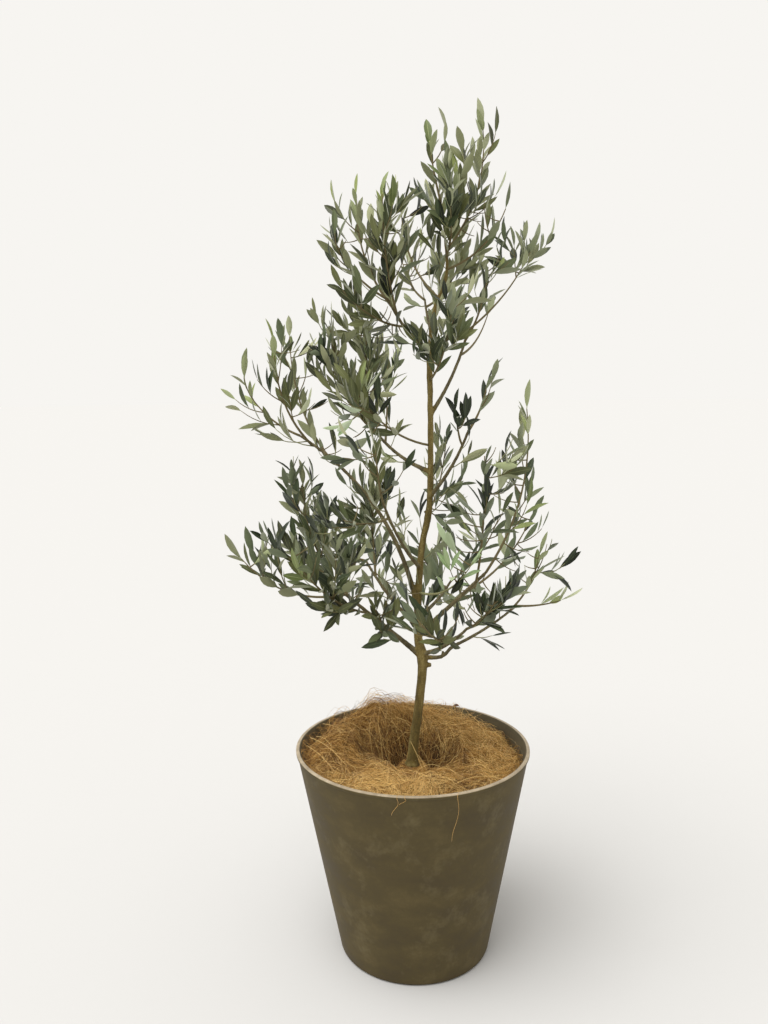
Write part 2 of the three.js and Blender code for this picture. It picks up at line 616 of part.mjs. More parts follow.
/** The whole potted olive tree. */
function pottedOliveTree() {
  const tree = new THREE.Group();
  tree.add(namedMesh('pot', potShell(), COLOURS.pot, ROUGHNESS.pot));
  tree.add(namedMesh('soil', soilFill(), COLOURS.soil, ROUGHNESS.fill));
  tree.add(namedMesh('coir_mulch', coirMulch(), COLOURS.coir, ROUGHNESS.fill));

  const trunk = trunkLimb();
  const limbs = new Map([['trunk', trunk]]);
  tree.add(namedMesh('trunk', geometryOf(trunkSolid(trunk)), COLOURS.bark, ROUGHNESS.bark));
  const trunkRoom = trunkSolid(trunk, CUT_CLEARANCE);
  for (const bough of BOUGHS) {
    const limb = boughLimb(trunk, bough);
    limbs.set(bough.name, limb);
    const solid = mainBody(limbSolid(limb).subtract(trunkRoom));
    tree.add(namedMesh(bough.name, geometryOf(solid), COLOURS.bark, ROUGHNESS.bark));
  }

  const stems = new Map(MASSES.map((mass) => [mass.name, massStem(mass, limbs)]));
  const tints = [COLOURS.leafDark, COLOURS.leafOlive, COLOURS.leafYoung];
  MASSES.forEach((mass, order) => {
    const geometry = geometryOf(foliageMass(mass, order + 1, stems, limbs));
    tree.add(namedMesh(mass.name, geometry, tints[order % tints.length], ROUGHNESS.leaf));
  });
  return tree;
}

export default pottedOliveTree();
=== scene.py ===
"""The dressed visual of the potted olive tree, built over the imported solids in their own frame."""

import logging
import math
from dataclasses import dataclass, field, replace
from enum import Enum

import bmesh
import bpy
import numpy as np
from mathutils import Matrix, Vector, noise


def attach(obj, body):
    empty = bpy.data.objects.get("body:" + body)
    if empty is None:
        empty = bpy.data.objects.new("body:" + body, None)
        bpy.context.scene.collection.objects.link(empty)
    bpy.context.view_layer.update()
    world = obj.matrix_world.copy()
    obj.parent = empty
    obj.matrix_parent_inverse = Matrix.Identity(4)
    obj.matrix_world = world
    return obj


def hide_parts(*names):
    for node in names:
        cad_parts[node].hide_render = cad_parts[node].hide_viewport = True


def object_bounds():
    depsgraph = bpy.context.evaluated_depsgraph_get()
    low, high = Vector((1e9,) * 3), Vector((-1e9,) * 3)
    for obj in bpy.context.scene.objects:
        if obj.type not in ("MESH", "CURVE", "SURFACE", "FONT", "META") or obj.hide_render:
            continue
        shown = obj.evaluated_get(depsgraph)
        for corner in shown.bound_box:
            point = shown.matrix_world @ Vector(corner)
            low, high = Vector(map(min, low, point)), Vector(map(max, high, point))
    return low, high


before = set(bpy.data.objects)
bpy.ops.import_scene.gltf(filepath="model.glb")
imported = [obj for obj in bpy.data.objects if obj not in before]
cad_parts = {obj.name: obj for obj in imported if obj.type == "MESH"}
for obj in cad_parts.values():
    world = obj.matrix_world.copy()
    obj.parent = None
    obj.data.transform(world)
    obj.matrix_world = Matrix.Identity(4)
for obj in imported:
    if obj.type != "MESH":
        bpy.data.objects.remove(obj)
CAD_BOX = [[float(value) for value in corner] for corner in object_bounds()]

log = logging.getLogger("potted_olive_tree")

MM = 0.001
UP = Vector((0, 0, 1))
FULL_TURN = 360
ROUND = 2 * math.pi
# How near two corners lie in millimetres to be joined into one
SPIN_WELD, TUBE_WELD, LEAF_WELD = 0.02, 0.01, 0.004


class Kind(Enum):
    """The record's material slot that a piece takes its finish from."""

    POT = "pot"
    COIR = "coir"
    BARK = "bark"
    FOLIAGE = "foliage"


def linear(colour: str) -> tuple[float, float, float, float]:
    """Turn an sRGB hex colour to linear.

    Args:
        colour: Six hex digits, such as "6a5f4c".

    Returns:
        The linear red, green, blue and an alpha of 1.
    """
    shares = [int(colour[place : place + 2], 16) / 255 for place in (0, 2, 4)]
    # The curve of the sRGB standard: straight near black, and a power above
    red, green, blue = (s / 12.92 if s <= 0.04045 else ((s + 0.055) / 1.055) ** 2.4 for s in shares)
    return red, green, blue, 1.0


def add_node(
    tree: bpy.types.NodeTree, kind: str, sockets: dict | None = None, **settings: object
) -> bpy.types.Node:
    """Add a node with its settings, values and links.

    Args:
        tree: The node tree to add to.
        kind: The node's type name.
        sockets: A value, or another node's output to link, for each input by name or number.
        **settings: The node's own properties.

    Returns:
        The new node.
    """
    node = tree.nodes.new(kind)
    for name, value in settings.items():
        setattr(node, name, value)
    for name, value in (sockets or {}).items():
        if isinstance(value, bpy.types.NodeSocket):
            tree.links.new(value, node.inputs[name])
        else:
            node.inputs[name].default_value = value
    return node


def blank_material(name: str, colour: str) -> bpy.types.Material:
    """Make a material with an empty node tree and a plain preview colour.

    Args:
        name: The material's name.
        colour: Its preview colour, as hex digits.

    Returns:
        The material.
    """
    material = bpy.data.materials.new(name)
    material.use_nodes = True
    material.node_tree.nodes.clear()
    material.diffuse_color = linear(colour)
    return material


def end_in_shader(tree: bpy.types.NodeTree, sockets: dict) -> None:
    """End a node tree in one shader with these values and links."""
    shader = add_node(tree, "ShaderNodeBsdfPrincipled", sockets)
    add_node(tree, "ShaderNodeOutputMaterial", {"Surface": shader.outputs["BSDF"]})


@dataclass(frozen=True)
class PlainSkin:
    """A thin living or dry skin whose colour is dealt out spray by spray, so that it needs no pattern.

    The one colour sets a leaf, twig or strand off from its neighbours, the roughness says how waxy or
    dry it is, and the sheen stands for the fine scales or fuzz that pale it at a slant.
    """

    name: str
    colour: str
    roughness: float
    sheen: float = 0.0
    specular: float = 0.35
    sheen_roughness: float = 0.6

    def material(self) -> bpy.types.Material:
        """Return the skin as a material with one even base colour.

        Returns:
            The material.
        """
        material = blank_material(self.name, self.colour)
        end_in_shader(
            material.node_tree,
            {
                "Base Color": linear(self.colour),
                "Roughness": self.roughness,
                "Sheen Weight": self.sheen,
                "Sheen Roughness": self.sheen_roughness,
                "Specular IOR Level": self.specular,
            },
        )
        return material


@dataclass(frozen=True)
class MottledSurface:
    """A matt surface with soft clouds of colour, a fine speckle, scattered marks and a shallow relief.

    The sizes are real ones in millimetres. The stretch squeezes the clouds along each axis, so a
    large last number draws level bands and a small one upright streaks.
    """

    name: str
    dark: str
    middle: str
    pale: str
    cloud_mm: float
    speckle_mm: float
    relief_mm: float
    roughness: tuple[float, float]
    stretch: tuple[float, float, float] = (1.0, 1.0, 1.0)
    cloud_share: float = 0.7
    mark: str = ""
    mark_mm: float = 10
    mark_from: float = 0.62
    mark_softness: float = 0.1
    specular: float = 0.4
    # The detail and the roughness of the clouds, the speckle and the marks
    grains: tuple[tuple[float, float], ...] = ((5.0, 0.6), (3.0, 0.7), (4.0, 0.75))
    # The noise at which each colour is pure, and between which the roughness runs
    stops: tuple[float, float, float] = (0.36, 0.51, 0.66)
    gloss_span: tuple[float, float] = (0.35, 0.65)

    def coloured(
        self, tree: bpy.types.NodeTree, mixed: bpy.types.NodeSocket, spots: list[bpy.types.NodeSocket]
    ) -> bpy.types.NodeSocket:
        """Turn the mixed noise into the surface's colour, with its marks.

        Args:
            tree: The node tree to add to.
            mixed: The clouds and the speckle in one.
            spots: The noise of the marks, if there are any.

        Returns:
            The colour.
        """
        ramp = add_node(tree, "ShaderNodeValToRGB", {"Fac": mixed})
        ramp.color_ramp.elements.new(self.stops[1])
        for number, shade in enumerate((self.dark, self.middle, self.pale)):
            ramp.color_ramp.elements[number].position = self.stops[number]
            ramp.color_ramp.elements[number].color = linear(shade)
        colour = ramp.outputs[0]
        for spot in spots:
            span = {"From Min": self.mark_from, "From Max": self.mark_from + self.mark_softness}
            share = add_node(tree, "ShaderNodeMapRange", {"Value": spot, **span}).outputs[0]
            mix = {0: share, 6: colour, 7: linear(self.mark)}
            colour = add_node(tree, "ShaderNodeMix", mix, data_type="RGBA").outputs[2]
        return colour

    def material(self) -> bpy.types.Material:
        """Return the surface as a material that reads Object coordinates.

        Returns:
            The material.
        """
        material = blank_material(self.name, self.middle)
        tree = material.node_tree
        place = add_node(tree, "ShaderNodeTexCoord").outputs["Object"]
        squeezed = add_node(tree, "ShaderNodeMapping", {"Vector": place, "Scale": self.stretch}).outputs[0]
        layers = [(squeezed, self.cloud_mm), (place, self.speckle_mm)]
        if self.mark:
            layers.append((place, self.mark_mm))
        clouds, speckle, *spots = [
            add_node(
                tree,
                "ShaderNodeTexNoise",
                {"Vector": where, "Scale": 1 / (size * MM), "Detail": detail, "Roughness": rough},
            ).outputs[0]
            for (where, size), (detail, rough) in zip(layers, self.grains)
        ]
        mix = {0: 1 - self.cloud_share, 2: clouds, 3: speckle}
        mixed = add_node(tree, "ShaderNodeMix", mix, data_type="FLOAT").outputs[0]
        names = ("From Min", "From Max", "To Min", "To Max")
        span = dict(zip(names, (*self.gloss_span, *self.roughness)))
        gloss = add_node(tree, "ShaderNodeMapRange", {"Value": mixed, **span})
        bump = {"Height": mixed, "Distance": self.relief_mm * MM, "Strength": 1.0}
        relief = add_node(tree, "ShaderNodeBump", bump)
        end_in_shader(
            tree,
            {
                "Base Color": self.coloured(tree, mixed, spots),
                "Roughness": gloss.outputs[0],
                "Normal": relief.outputs[0],
                "Specular IOR Level": self.specular,
            },
        )
        return material


Skin = PlainSkin | MottledSurface

# Stone-filled resin, moulded and left matt: soft clouds, faint level bands and broad chalky scuffs
POT_OUTSIDE = MottledSurface(
    "stone_filled_resin_moulded", "463b21", "4e4326", "594d2f", 52, 6, 0.3, (0.6, 0.78), (0.8, 0.8, 1.5),
    cloud_share=0.8, mark="6a5f41", mark_mm=58, mark_from=0.54, mark_softness=0.34, specular=0.28,
)
# The same resin inside, unpolished, with the dust of the mulch in its grain
POT_INSIDE = MottledSurface(
    "stone_filled_resin_inner_wall", "4b4331", "595039", "686048", 60, 4, 0.3, (0.65, 0.8), (0.6, 0.6, 3.0)
)
# The rim's top edge, paler than the wall
POT_LIP = MottledSurface(
    "stone_filled_resin_pale_edge", "867862", "a2937a", "b8a98f", 25, 3, 0.25, (0.5, 0.65)
)
# Young olive bark, smooth and olive-brown, with upright streaks and small pale breathing pores
BARK = MottledSurface(
    "olive_bark_smooth_young", "43391b", "695a2e", "8e7f50", 12, 1.6, 0.6, (0.72, 0.9), (1.0, 1.0, 0.3),
    mark="a3976a", mark_mm=3.2, specular=0.3, cloud_share=0.62,
)
# The boughs' thinner bark, with the same streaks and pores, a little greyer than the trunk's, and darker as
# painted shade
SHADED_BOUGH_BARK = replace(
    BARK, name="olive_bark_on_boughs_painted_shade", dark="3d3622", middle="60573b", pale="807758", mark="948b6c"
)
# Matted coconut fibre between the strands, golden, and a darker copy of it as painted shade in the hollows
COIR_MAT = MottledSurface("coconut_fibre_matted", "543813", "86602a", "b48744", 10, 1.6, 3.0, (0.85, 0.98))
COIR_PAINTED_SHADE = replace(COIR_MAT, name="coconut_fibre_in_shade", dark="241605", middle="3f290c", pale="62431a")
# Moist soil, whose dark crumbs stand a little proud
POTTING_SOIL = MottledSurface("potting_soil_moist", "241a12", "35281c", "4a3a2a", 8, 2, 2.0, (0.85, 0.98))
# A twig's dull grey-brown bark, a shoot's smooth green skin, and a leaf gone brown and papery
TWIG_BARK = PlainSkin("olive_twig_grey_brown", "6b6040", 0.8)
SHOOT_SKIN = PlainSkin("olive_shoot_green", "86855c", 0.7)
DRIED_LEAF = PlainSkin("olive_leaf_dried", "5d4130", 0.8)


@dataclass(frozen=True)
class LeafSkins:
    """The finishes of one tone of leaf, as colours: three shades above, the pale rib, two undersides.

    A leaf is leathery and a little waxy above, and dull below, where fine scales make it silvery.
    """

    name: str
    upper: tuple[str, str, str]
    rib: str
    under: tuple[str, str]
    # Roughness and sheen above, on the rib and below
    above_finish: tuple[float, float] = (0.48, 0.05)
    rib_finish: tuple[float, float] = (0.55, 0.0)
    under_finish: tuple[float, float] = (0.72, 0.35)

    def skins(self) -> list[PlainSkin]:
        """Return the shades above, then the rib, then the undersides.

        Returns:
            One skin for each material slot of a leaf.
        """
        rows = [(f"above_{i}", colour, self.above_finish) for i, colour in enumerate(self.upper)]
        rows.append(("rib", self.rib, self.rib_finish))
        rows += [(f"underside_{i}", colour, self.under_finish) for i, colour in enumerate(self.under)]
        return [PlainSkin(f"{self.name}_{part}", colour, *finish) for part, colour, finish in rows]


class LeafSlot(Enum):
    """The material slots of a leaf's faces: the first of each kind, and how many shades it has."""

    UPPER = (0, 3)
    RIB = (3, 1)
    UNDER = (4, 2)


class Tone(Enum):
    """The tones of leaf, each dealt out by spray: old leaves green or khaki, new ones light and soft; the
    dark green is partly the leaves' own and partly painted shade.
    """

    KHAKI = LeafSkins("olive_leaf_khaki", ("4a4f29", "62663b", "383c20"), "7c8154", ("82865e", "a3a67d"))
    GREY_GREEN = LeafSkins(
        "olive_leaf_grey_green", ("424a2b", "565f3b", "2f371f"), "727a54", ("7f8663", "a0a67f")
    )
    # The leaves' own dark green, made darker still as painted shade for the low crown
    DARK_GREEN = LeafSkins(
        "olive_leaf_dark_green", ("1f2913", "2d3919", "181f0f"), "4f5c37", ("5d6846", "7b8461")
    )
    NEW = LeafSkins("olive_leaf_new", ("9aad7f", "afbf96", "869c6c"), "c2cba1", ("a0af88", "b6c3a1"))
    YOUNG = LeafSkins("olive_leaf_young", ("748048", "8b9657", "5f6b3a"), "a6ae76", ("98a172", "b2b791"))


class SeededNumbers:
    """Numbers that are always the same for the same seed, by the rule of the solids' source."""

    states = 2**32
    seed_factor = 2654435761
    step_factor = 1664525
    step_added = 1013904223

    def __init__(self, seed: int) -> None:
        """Start from a whole-number seed."""
        self.state = seed * self.seed_factor % self.states

    def between(self, low: float = 0.0, high: float = 1.0) -> float:
        """Return the next number from low to high."""
        self.state = (self.state * self.step_factor + self.step_added) % self.states
        return low + (high - low) * self.state / self.states


Line = list[Vector]
Span = tuple[float, float]


def aim(bearing: float, rise: float) -> Vector:
    """Return the unit vector along a bearing at a rise, both in degrees."""
    turn, lift = math.radians(bearing), math.radians(rise)
    return Vector((math.cos(lift) * math.cos(turn), math.cos(lift) * math.sin(turn), math.sin(lift)))


def bowed_line(start: Vector, direction: Vector, length: float, sag: float, steps: int) -> Line:
    """Return points along a limb that bows to one side of its chord.

    Args:
        start: The limb's first point.
        direction: The unit vector from its first point to its last.
        length: The chord's length.
        sag: The bow's depth as a share of the length, positive downwards.
        steps: The number of steps between the points.

    Returns:
        The points, from first to last.
    """
    end = start + direction * length
    sideways_down = (direction * direction.z - UP).normalized()
    middle = (start + end) / 2 + sideways_down * (2 * sag * length)
    shares = [step / steps for step in range(steps + 1)]
    return [start * (1 - s) ** 2 + middle * (2 * s * (1 - s)) + end * s**2 for s in shares]


def line_length(line: Line) -> float:
    """Return the length of a line of points."""
    return sum((after - before).length for before, after in zip(line, line[1:]))


def place_along(line: Line, distance: float) -> tuple[Vector, Vector]:
    """Find a place on a line of points.

    Args:
        line: The points.
        distance: How far along them.

    Returns:
        The point there, and the direction.
    """
    left = distance
    for before, after in zip(line, line[1:]):
        step = after - before
        if left <= step.length or after is line[-1]:
            return before + step.normalized() * left, step.normalized()
        left -= step.length
    raise ValueError("a line needs two points")


def leaning(along: Vector, turn: float, opening: float, lift: float) -> Vector:
    """Return a direction that leans out from another, and then up.

    Args:
        along: The direction to lean out from.
        turn: Where round it to lean, in degrees.
        opening: The angle between the two, in degrees.
        lift: How much is added upwards before the direction is made a unit long.

    Returns:
        The unit vector.
    """
    level = along.cross(UP).normalized()
    angle, out = math.radians(turn), math.radians(opening)
    # The source turns the second part over where the first one points back
    second = math.copysign(math.sin(angle), math.sin(angle) * math.cos(angle))
    beside = level * math.cos(angle) + level.cross(along) * second
    return (along * math.cos(out) + beside * math.sin(out) + UP * lift).normalized()


def eased(value: float, low: float, high: float) -> float:
    """Return 0 below a range, 1 above it, and an eased share of it between."""
    share = min(max((value - low) / (high - low), 0), 1)
    return share * share * (3 - 2 * share)


def heaped(heaps: tuple, across: float, depth: float, height: float) -> float:
    """Add round heaps to a height.

    Args:
        heaps: The middle, rise and spread of each: across, depth, rise, spread.
        across: The place, to the right.
        depth: The place, to the back.
        height: The height without the heaps.

    Returns:
        The height with them.
    """
    for middle_across, middle_depth, rise, spread in heaps:
        away = math.hypot(across - middle_across, depth - middle_depth) / spread
        height += rise * math.exp(-away * away / 2)
    return height


@dataclass(frozen=True)
class Bough:
    """Where a bough leaves the trunk, and its bearing, rise, length, bow and end radii in millimetres."""

    name: str
    at: float
    bearing: float
    rise: float
    length: float
    sag: float
    foot: float
    tip: float

    def radius(self, share: float) -> float:
        """Return the radius at a share of the length."""
        return self.foot + (self.tip - self.foot) * share


@dataclass(frozen=True)
class Mass:
    """The limb that a mass's stem leaves, how far from its tip or up the trunk, and the stem's own sizes.

    Then come how full of fine twigs the mass is, the share of its stem that bears no leaves, and its
    leafy twigs seen singly: the share of the stem that each leaves, its bearing, rise and length.
    """

    name: str
    on: str
    at: float
    bearing: float
    rise: float
    length: float
    sag: float
    fullness: float
    bare: float
    sprays: tuple[tuple[float, float, float, float], ...]


@dataclass
class Limb:
    """A line of points with a radius at each, in millimetres."""

    line: Line
    radii: list[float]


TRUNK = "trunk"
# Height, across, depth and radius of the trunk's axis
TRUNK_STATIONS = (
    (281.3, -1, 0, 13), (291, 0, 0, 9.2), (320, 3, -1, 8), (370, 10, -3, 7.5), (430, 17, -4, 7.4),
    (460, 17, -3, 9.2), (492, 11, 2, 6.6), (560, 13, 5, 5.6), (637, 20, 6, 5.4), (712, 33, 2, 5.1),
    (863, 35, -4, 4.7), (935, 34, -2, 4.5), (950, 34, -2, 5.8), (968, 36, 0, 4), (1028, 46, 5, 3.4),
    (1059, 59, 2, 3), (1101, 65, -3, 2.6), (1195, 56, 0, 1.8),
)
BOUGHS = tuple(
    Bough("bough_" + name, *sizes)
    for name, *sizes in (
        ("low_left", 458, 199, 41, 170, 0, 4.4, 2.6),
        ("low_back_left", 505, 129, 33, 160, 0.05, 3.6, 2.2),
        ("left_middle", 530, 172, 56, 345, -0.11, 4.2, 2.2),
        ("front_left", 600, 242, 43, 170, 0.05, 3.2, 2.1),
        ("left_upper", 757, 148, 33, 135, 0.08, 3.4, 2.4),
        ("high_left", 950, 203, 50, 110, 0.06, 3.2, 2.3),
        ("high_back", 985, 93, 33, 110, 0.06, 2.8, 2),
        ("high_right", 850, 33, 60, 160, 0.05, 3.2, 2.2),
        ("mid_right", 715, 308, 50, 145, 0.05, 3.2, 2.2),
        ("low_right", 491, 343, 44, 155, 0, 4.2, 2.6),
        ("lowest_right", 455, 19, 22, 185, 0.05, 3.2, 2),
        ("low_front", 462, 305, 30, 130, 0.05, 3.4, 2.2),
        ("low_back", 520, 61, 14, 140, 0.05, 3.4, 2.2),
    )
)
# A mass's stem on the bough of that name, with the seven sizes and then the single sprays
MASS_ROWS = (
    ("low_left_outer", "low_left", (0, 194, 22, 175, 0.14, 0.45, 0.3),
     (0.05, 310, 45, 35), (0.5, 25, 60, 35), (0.75, 100, 70, 35), (0.9, 25, 45, 35)),
    ("low_left_upright", "low_left", (25, 167, 66, 215, 0.12, 0.8, 0.12),
     (0.05, 20, 40, 20), (0.15, 5, 45, 25), (0.25, 15, 35, 50), (0.35, 20, 30, 45), (0.9, 170, 60, 40)),
    ("low_left_inner", "low_left", (100, 250, 36, 90, 0.06, 0.6, 0.1), (0.8, 5, 30, 45)),
    ("low_left_front", "low_left", (50, 235, 34, 230, 0.08, 1, 0.12),
     (0.25, 10, 55, 35), (0.45, 15, 50, 40), (0.9, 190, 40, 45), (0.95, 15, 35, 30)),
    ("low_back_outer", "low_back_left", (0, 141, 17, 140, 0.06, 1.2, 0.12),
     (0.15, 215, -60, 35), (0.3, 240, 10, 45)),
    ("low_back_upright", "low_back_left", (35, 95, 64, 160, 0.1, 1.3, 0.12),
     (0.05, 350, -30, 45), (0.05, 195, -35, 35), (0.55, 185, 0, 30), (0.8, 180, 0, 30)),
    ("left_outer", "left_middle", (0, 167, 38, 112, 0.08, 0, 0.3), (0.9, 200, 70, 45)),
    ("left_upright_outer", "left_middle", (25, 226, 64, 180, 0.12, 0, 0.28),
     (0.35, 5, 30, 45), (0.95, 5, 5, 40)),
    ("left_upright_inner", "left_middle", (65, 132, 62, 235, 0.12, 0, 0.15),
     (0.05, 0, 20, 25), (0.1, 355, 40, 25), (0.45, 0, 20, 45), (0.7, 5, 15, 50), (0.85, 0, 25, 50)),
    ("front_left_upright", "front_left", (0, 261, 48, 120, 0.1, 0.25, 0.3),
     (0.95, 180, -5, 45), (0.95, 180, 30, 40)),
    ("front_left_low", "front_left", (25, 236, 6, 120, 0.06, 0.7, 0.12), (0.8, 35, 70, 25)),
    ("left_upper_tall", "left_upper", (0, 101, 78, 165, 0.1, 1.2, 0.12),
     (0.05, 150, -40, 45), (0.35, 0, 5, 40), (0.5, 350, 5, 30), (0.95, 0, 0, 45), (0.95, 190, 20, 40)),
    ("left_upper_outer", "left_upper", (20, 211, 61, 170, 0.12, 0.7, 0.1),
     (0.15, 185, -45, 30), (0.3, 185, -35, 30), (0.35, 190, -35, 40), (0.9, 350, 60, 45),
     (0.95, 200, 80, 35), (0.95, 185, 5, 45)),
    ("left_upper_back", "left_upper", (40, 87, 44, 195, 0.12, 0.35, 0.55)),
    ("left_upper_front", TRUNK, (800, 221, 31, 190, 0.1, 0.6, 0.35),
     (0.6, 185, -45, 55), (0.8, 190, -40, 45), (0.9, 355, 30, 40)),
    ("high_left_outer", "high_left", (0, 201, 43, 120, 0.08, 0.35, 0.4),
     (0.95, 345, 45, 20), (0.95, 230, 75, 25)),
    ("high_left_tall", "high_left", (15, 148, 70, 200, 0.1, 0.15, 0.15),
     (0.65, 175, -10, 30), (0.65, 355, 10, 40)),
    ("high_left_inner", "high_left", (30, 250, 70, 195, 0.1, 1.1, 0.08), (0.7, 15, 10, 30)),
    ("high_left_low", "high_left", (50, 232, 17, 160, 0.08, 0.7, 0.1),
     (0.1, 320, -50, 25), (0.2, 285, -80, 20), (0.3, 345, 65, 20), (0.4, 355, 60, 25)),
    ("high_left_near", TRUNK, (1040, 138, 64, 175, 0.12, 0, 0.35),
     (0.3, 10, 25, 20), (0.45, 0, 20, 30), (0.8, 175, -5, 25), (0.9, 0, 30, 40)),
    ("high_back_left", "high_back", (0, 119, 45, 105, 0.1, 0, 0.3),
     (0.6, 350, 25, 30), (0.7, 355, 20, 25), (0.95, 355, 15, 40)),
    ("high_back_right", "high_back", (20, 48, 42, 130, 0.1, 1.2, 0.12), (0.65, 0, 0, 45)),
    ("leader_tip", TRUNK, (1195, 163, 80, 100, 0.02, 0.25, 0.1)),
    ("top_tall", TRUNK, (1115, 358, 73, 210, 0.1, 0.2, 0.1),
     (0.2, 15, -25, 25), (0.3, 345, -20, 25), (0.35, 330, -10, 30)),
    ("top_right", TRUNK, (1085, 332, 41, 135, 0.12, 0.35, 0.35), (0.7, 180, 35, 30), (0.85, 185, 25, 25)),
    ("top_front", TRUNK, (1105, 279, 59, 130, 0.12, 1.1, 0.08), (0.6, 335, -15, 40), (0.95, 350, 55, 45)),
    ("high_right_outer", "high_right", (0, 0, 51, 170, 0.06, 1.3, 0.68), (0.75, 180, 35, 45)),
    ("high_right_upright", "high_right", (20, 298, 59, 135, 0.1, 1, 0.4),
     (0.9, 345, 30, 40), (0.95, 10, 45, 25)),
    ("high_right_back", "high_right", (45, 61, 34, 165, 0.1, 0, 0.85)),
    ("high_front", TRUNK, (905, 285, 46, 160, 0.12, 0.85, 0.12), (0.95, 0, 45, 45)),
    ("mid_right_upright", "mid_right", (0, 335, 67, 80, 0.06, 0.3, 0.35)),
    ("mid_right_front", "mid_right", (25, 259, 30, 115, 0.1, 0, 0.5)),
    ("mid_back", TRUNK, (690, 74, 34, 195, 0.12, 0.15, 0.2),
     (0.05, 350, -25, 45), (0.1, 350, 0, 45), (0.3, 350, -15, 45)),
    ("right_tall", "low_right", (0, 16, 74, 270, 0.1, 0, 0.25),
     (0.1, 340, -30, 40), (0.2, 345, -20, 40), (0.45, 170, 15, 40), (0.55, 175, 20, 45), (0.7, 175, 10, 40)),
    ("right_upright_front", "low_right", (22, 275, 70, 220, 0.1, 0.45, 0.3),
     (0.3, 175, 5, 40), (0.4, 170, 5, 40), (0.5, 170, 20, 50), (0.6, 170, 5, 30), (0.75, 0, 0, 30),
     (0.05, 280, -40, 30), (0.85, 350, 20, 50), (0.95, 355, 0, 30), (0.95, 350, 55, 30)),
    ("right_outer", "low_right", (45, 38, 34, 190, 0.1, 0, 0.35),
     (0.05, 300, -70, 35), (0.1, 330, -55, 30), (0.2, 330, -45, 30), (0.6, 55, -45, 40),
     (0.7, 355, -35, 25), (0.95, 165, 30, 50)),
    ("right_back", "low_back", (0, 36, 41, 155, 0.1, 0.2, 0.3),
     (0.05, 350, -60, 45), (0.15, 335, -45, 45), (0.35, 165, 45, 45), (0.5, 165, 35, 45), (0.7, 170, 30, 50)),
    ("low_back_middle", "low_back", (25, 108, 23, 145, 0.1, 0.75, 0.12), (0.05, 340, -45, 50)),
    ("lowest_right_outer", "lowest_right", (0, 8, 4, 78, 0.04, 0.1, 0.5)),
    ("lowest_right_upright", "lowest_right", (18, 331, 61, 115, 0.08, 0.5, 0.4),
     (0.05, 170, 5, 45), (0.55, 155, 30, 20), (0.75, 345, 5, 35), (0.8, 180, 15, 20), (0.95, 165, 25, 20)),
    ("low_front_right", "low_front", (0, 300, 38, 90, 0.06, 1.5, 0.12),
     (0.2, 160, 55, 25), (0.3, 150, 50, 30), (0.55, 165, 40, 30), (0.7, 165, 40, 20), (0.9, 175, 25, 30),
     (0.95, 85, 65, 25), (0.95, 5, 50, 40)),
    ("low_front_middle", "low_front", (40, 250, 22, 175, 0.06, 0.45, 0.15),
     (0.9, 170, 45, 45), (0.95, 155, 55, 50)),
    ("front_young", TRUNK, (560, 295, 25, 190, 0.1, 0.1, 0.35),
     (0.05, 175, 5, 35), (0.65, 340, -45, 30), (0.85, 170, 35, 45), (0.95, 165, 40, 35)),
)
MASSES = tuple(
    Mass("foliage_" + name, on if on == TRUNK else "bough_" + on, *sizes, sprays)
    for name, on, sizes, *sprays in MASS_ROWS
)


def put_in_scene(name: str, mesh: bpy.types.Mesh, skins: list[Skin]) -> bpy.types.Object:
    """Link a mesh to the scene as a named object at the origin.

    Args:
        name: The object's name.
        mesh: Its mesh.
        skins: The finishes of its material slots.

    Returns:
        The object.
    """
    piece = bpy.data.objects.new(name, mesh)
    bpy.context.scene.collection.objects.link(piece)
    for skin in skins:
        mesh.materials.append(skin.material())
    return piece


def add_piece(name: str, mesh: bpy.types.Mesh, skins: list[Skin], nodes: list[str]) -> None:
    """Put a piece in the scene, let it ride with the model and stand for its nodes, and log it.

    Args:
        name: The piece's name.
        mesh: Its mesh.
        skins: The finishes of its material slots.
        nodes: The solids' nodes that it stands for.
    """
    piece = put_in_scene(name, mesh, skins)
    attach(piece, "root")
    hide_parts(*nodes)
    log.info("%s: %d faces for %d nodes", name, len(mesh.polygons), len(nodes))


def mesh_of(name: str, shape: bmesh.types.BMesh) -> bpy.types.Mesh:
    """Turn a shape into a named mesh, and free the shape.

    Args:
        name: The mesh's name.
        shape: The shape.

    Returns:
        The mesh.
    """
    mesh = bpy.data.meshes.new(name)
    shape.to_mesh(mesh)
    shape.free()
    return mesh


def spin_closed(shape: bmesh.types.BMesh, sides: int) -> None:
    """Spin a section a full turn into a closed skin of so many sides, its seam and poles joined.

    Args:
        shape: The section, whose ends are on the axis.
        sides: The number of steps.
    """
    bmesh.ops.spin(
        shape, geom=shape.verts[:] + shape.edges[:], cent=(0, 0, 0), axis=(0, 0, 1),
        angle=math.radians(FULL_TURN), steps=sides, use_merge=True,
    )
    bmesh.ops.remove_doubles(shape, verts=shape.verts, dist=SPIN_WELD * MM)
    bmesh.ops.recalc_face_normals(shape, faces=shape.faces)


def mesh_from(holder: bpy.types.Object) -> bpy.types.Mesh:
    """Return the mesh that a curve or a modified object comes to, and remove the object.

    Args:
        holder: The curve's or the modified mesh's object, not yet linked.

    Returns:
        The mesh.
    """
    bpy.context.scene.collection.objects.link(holder)
    mesh = bpy.data.meshes.new_from_object(holder.evaluated_get(bpy.context.evaluated_depsgraph_get()))
    bpy.data.objects.remove(holder)
    return mesh


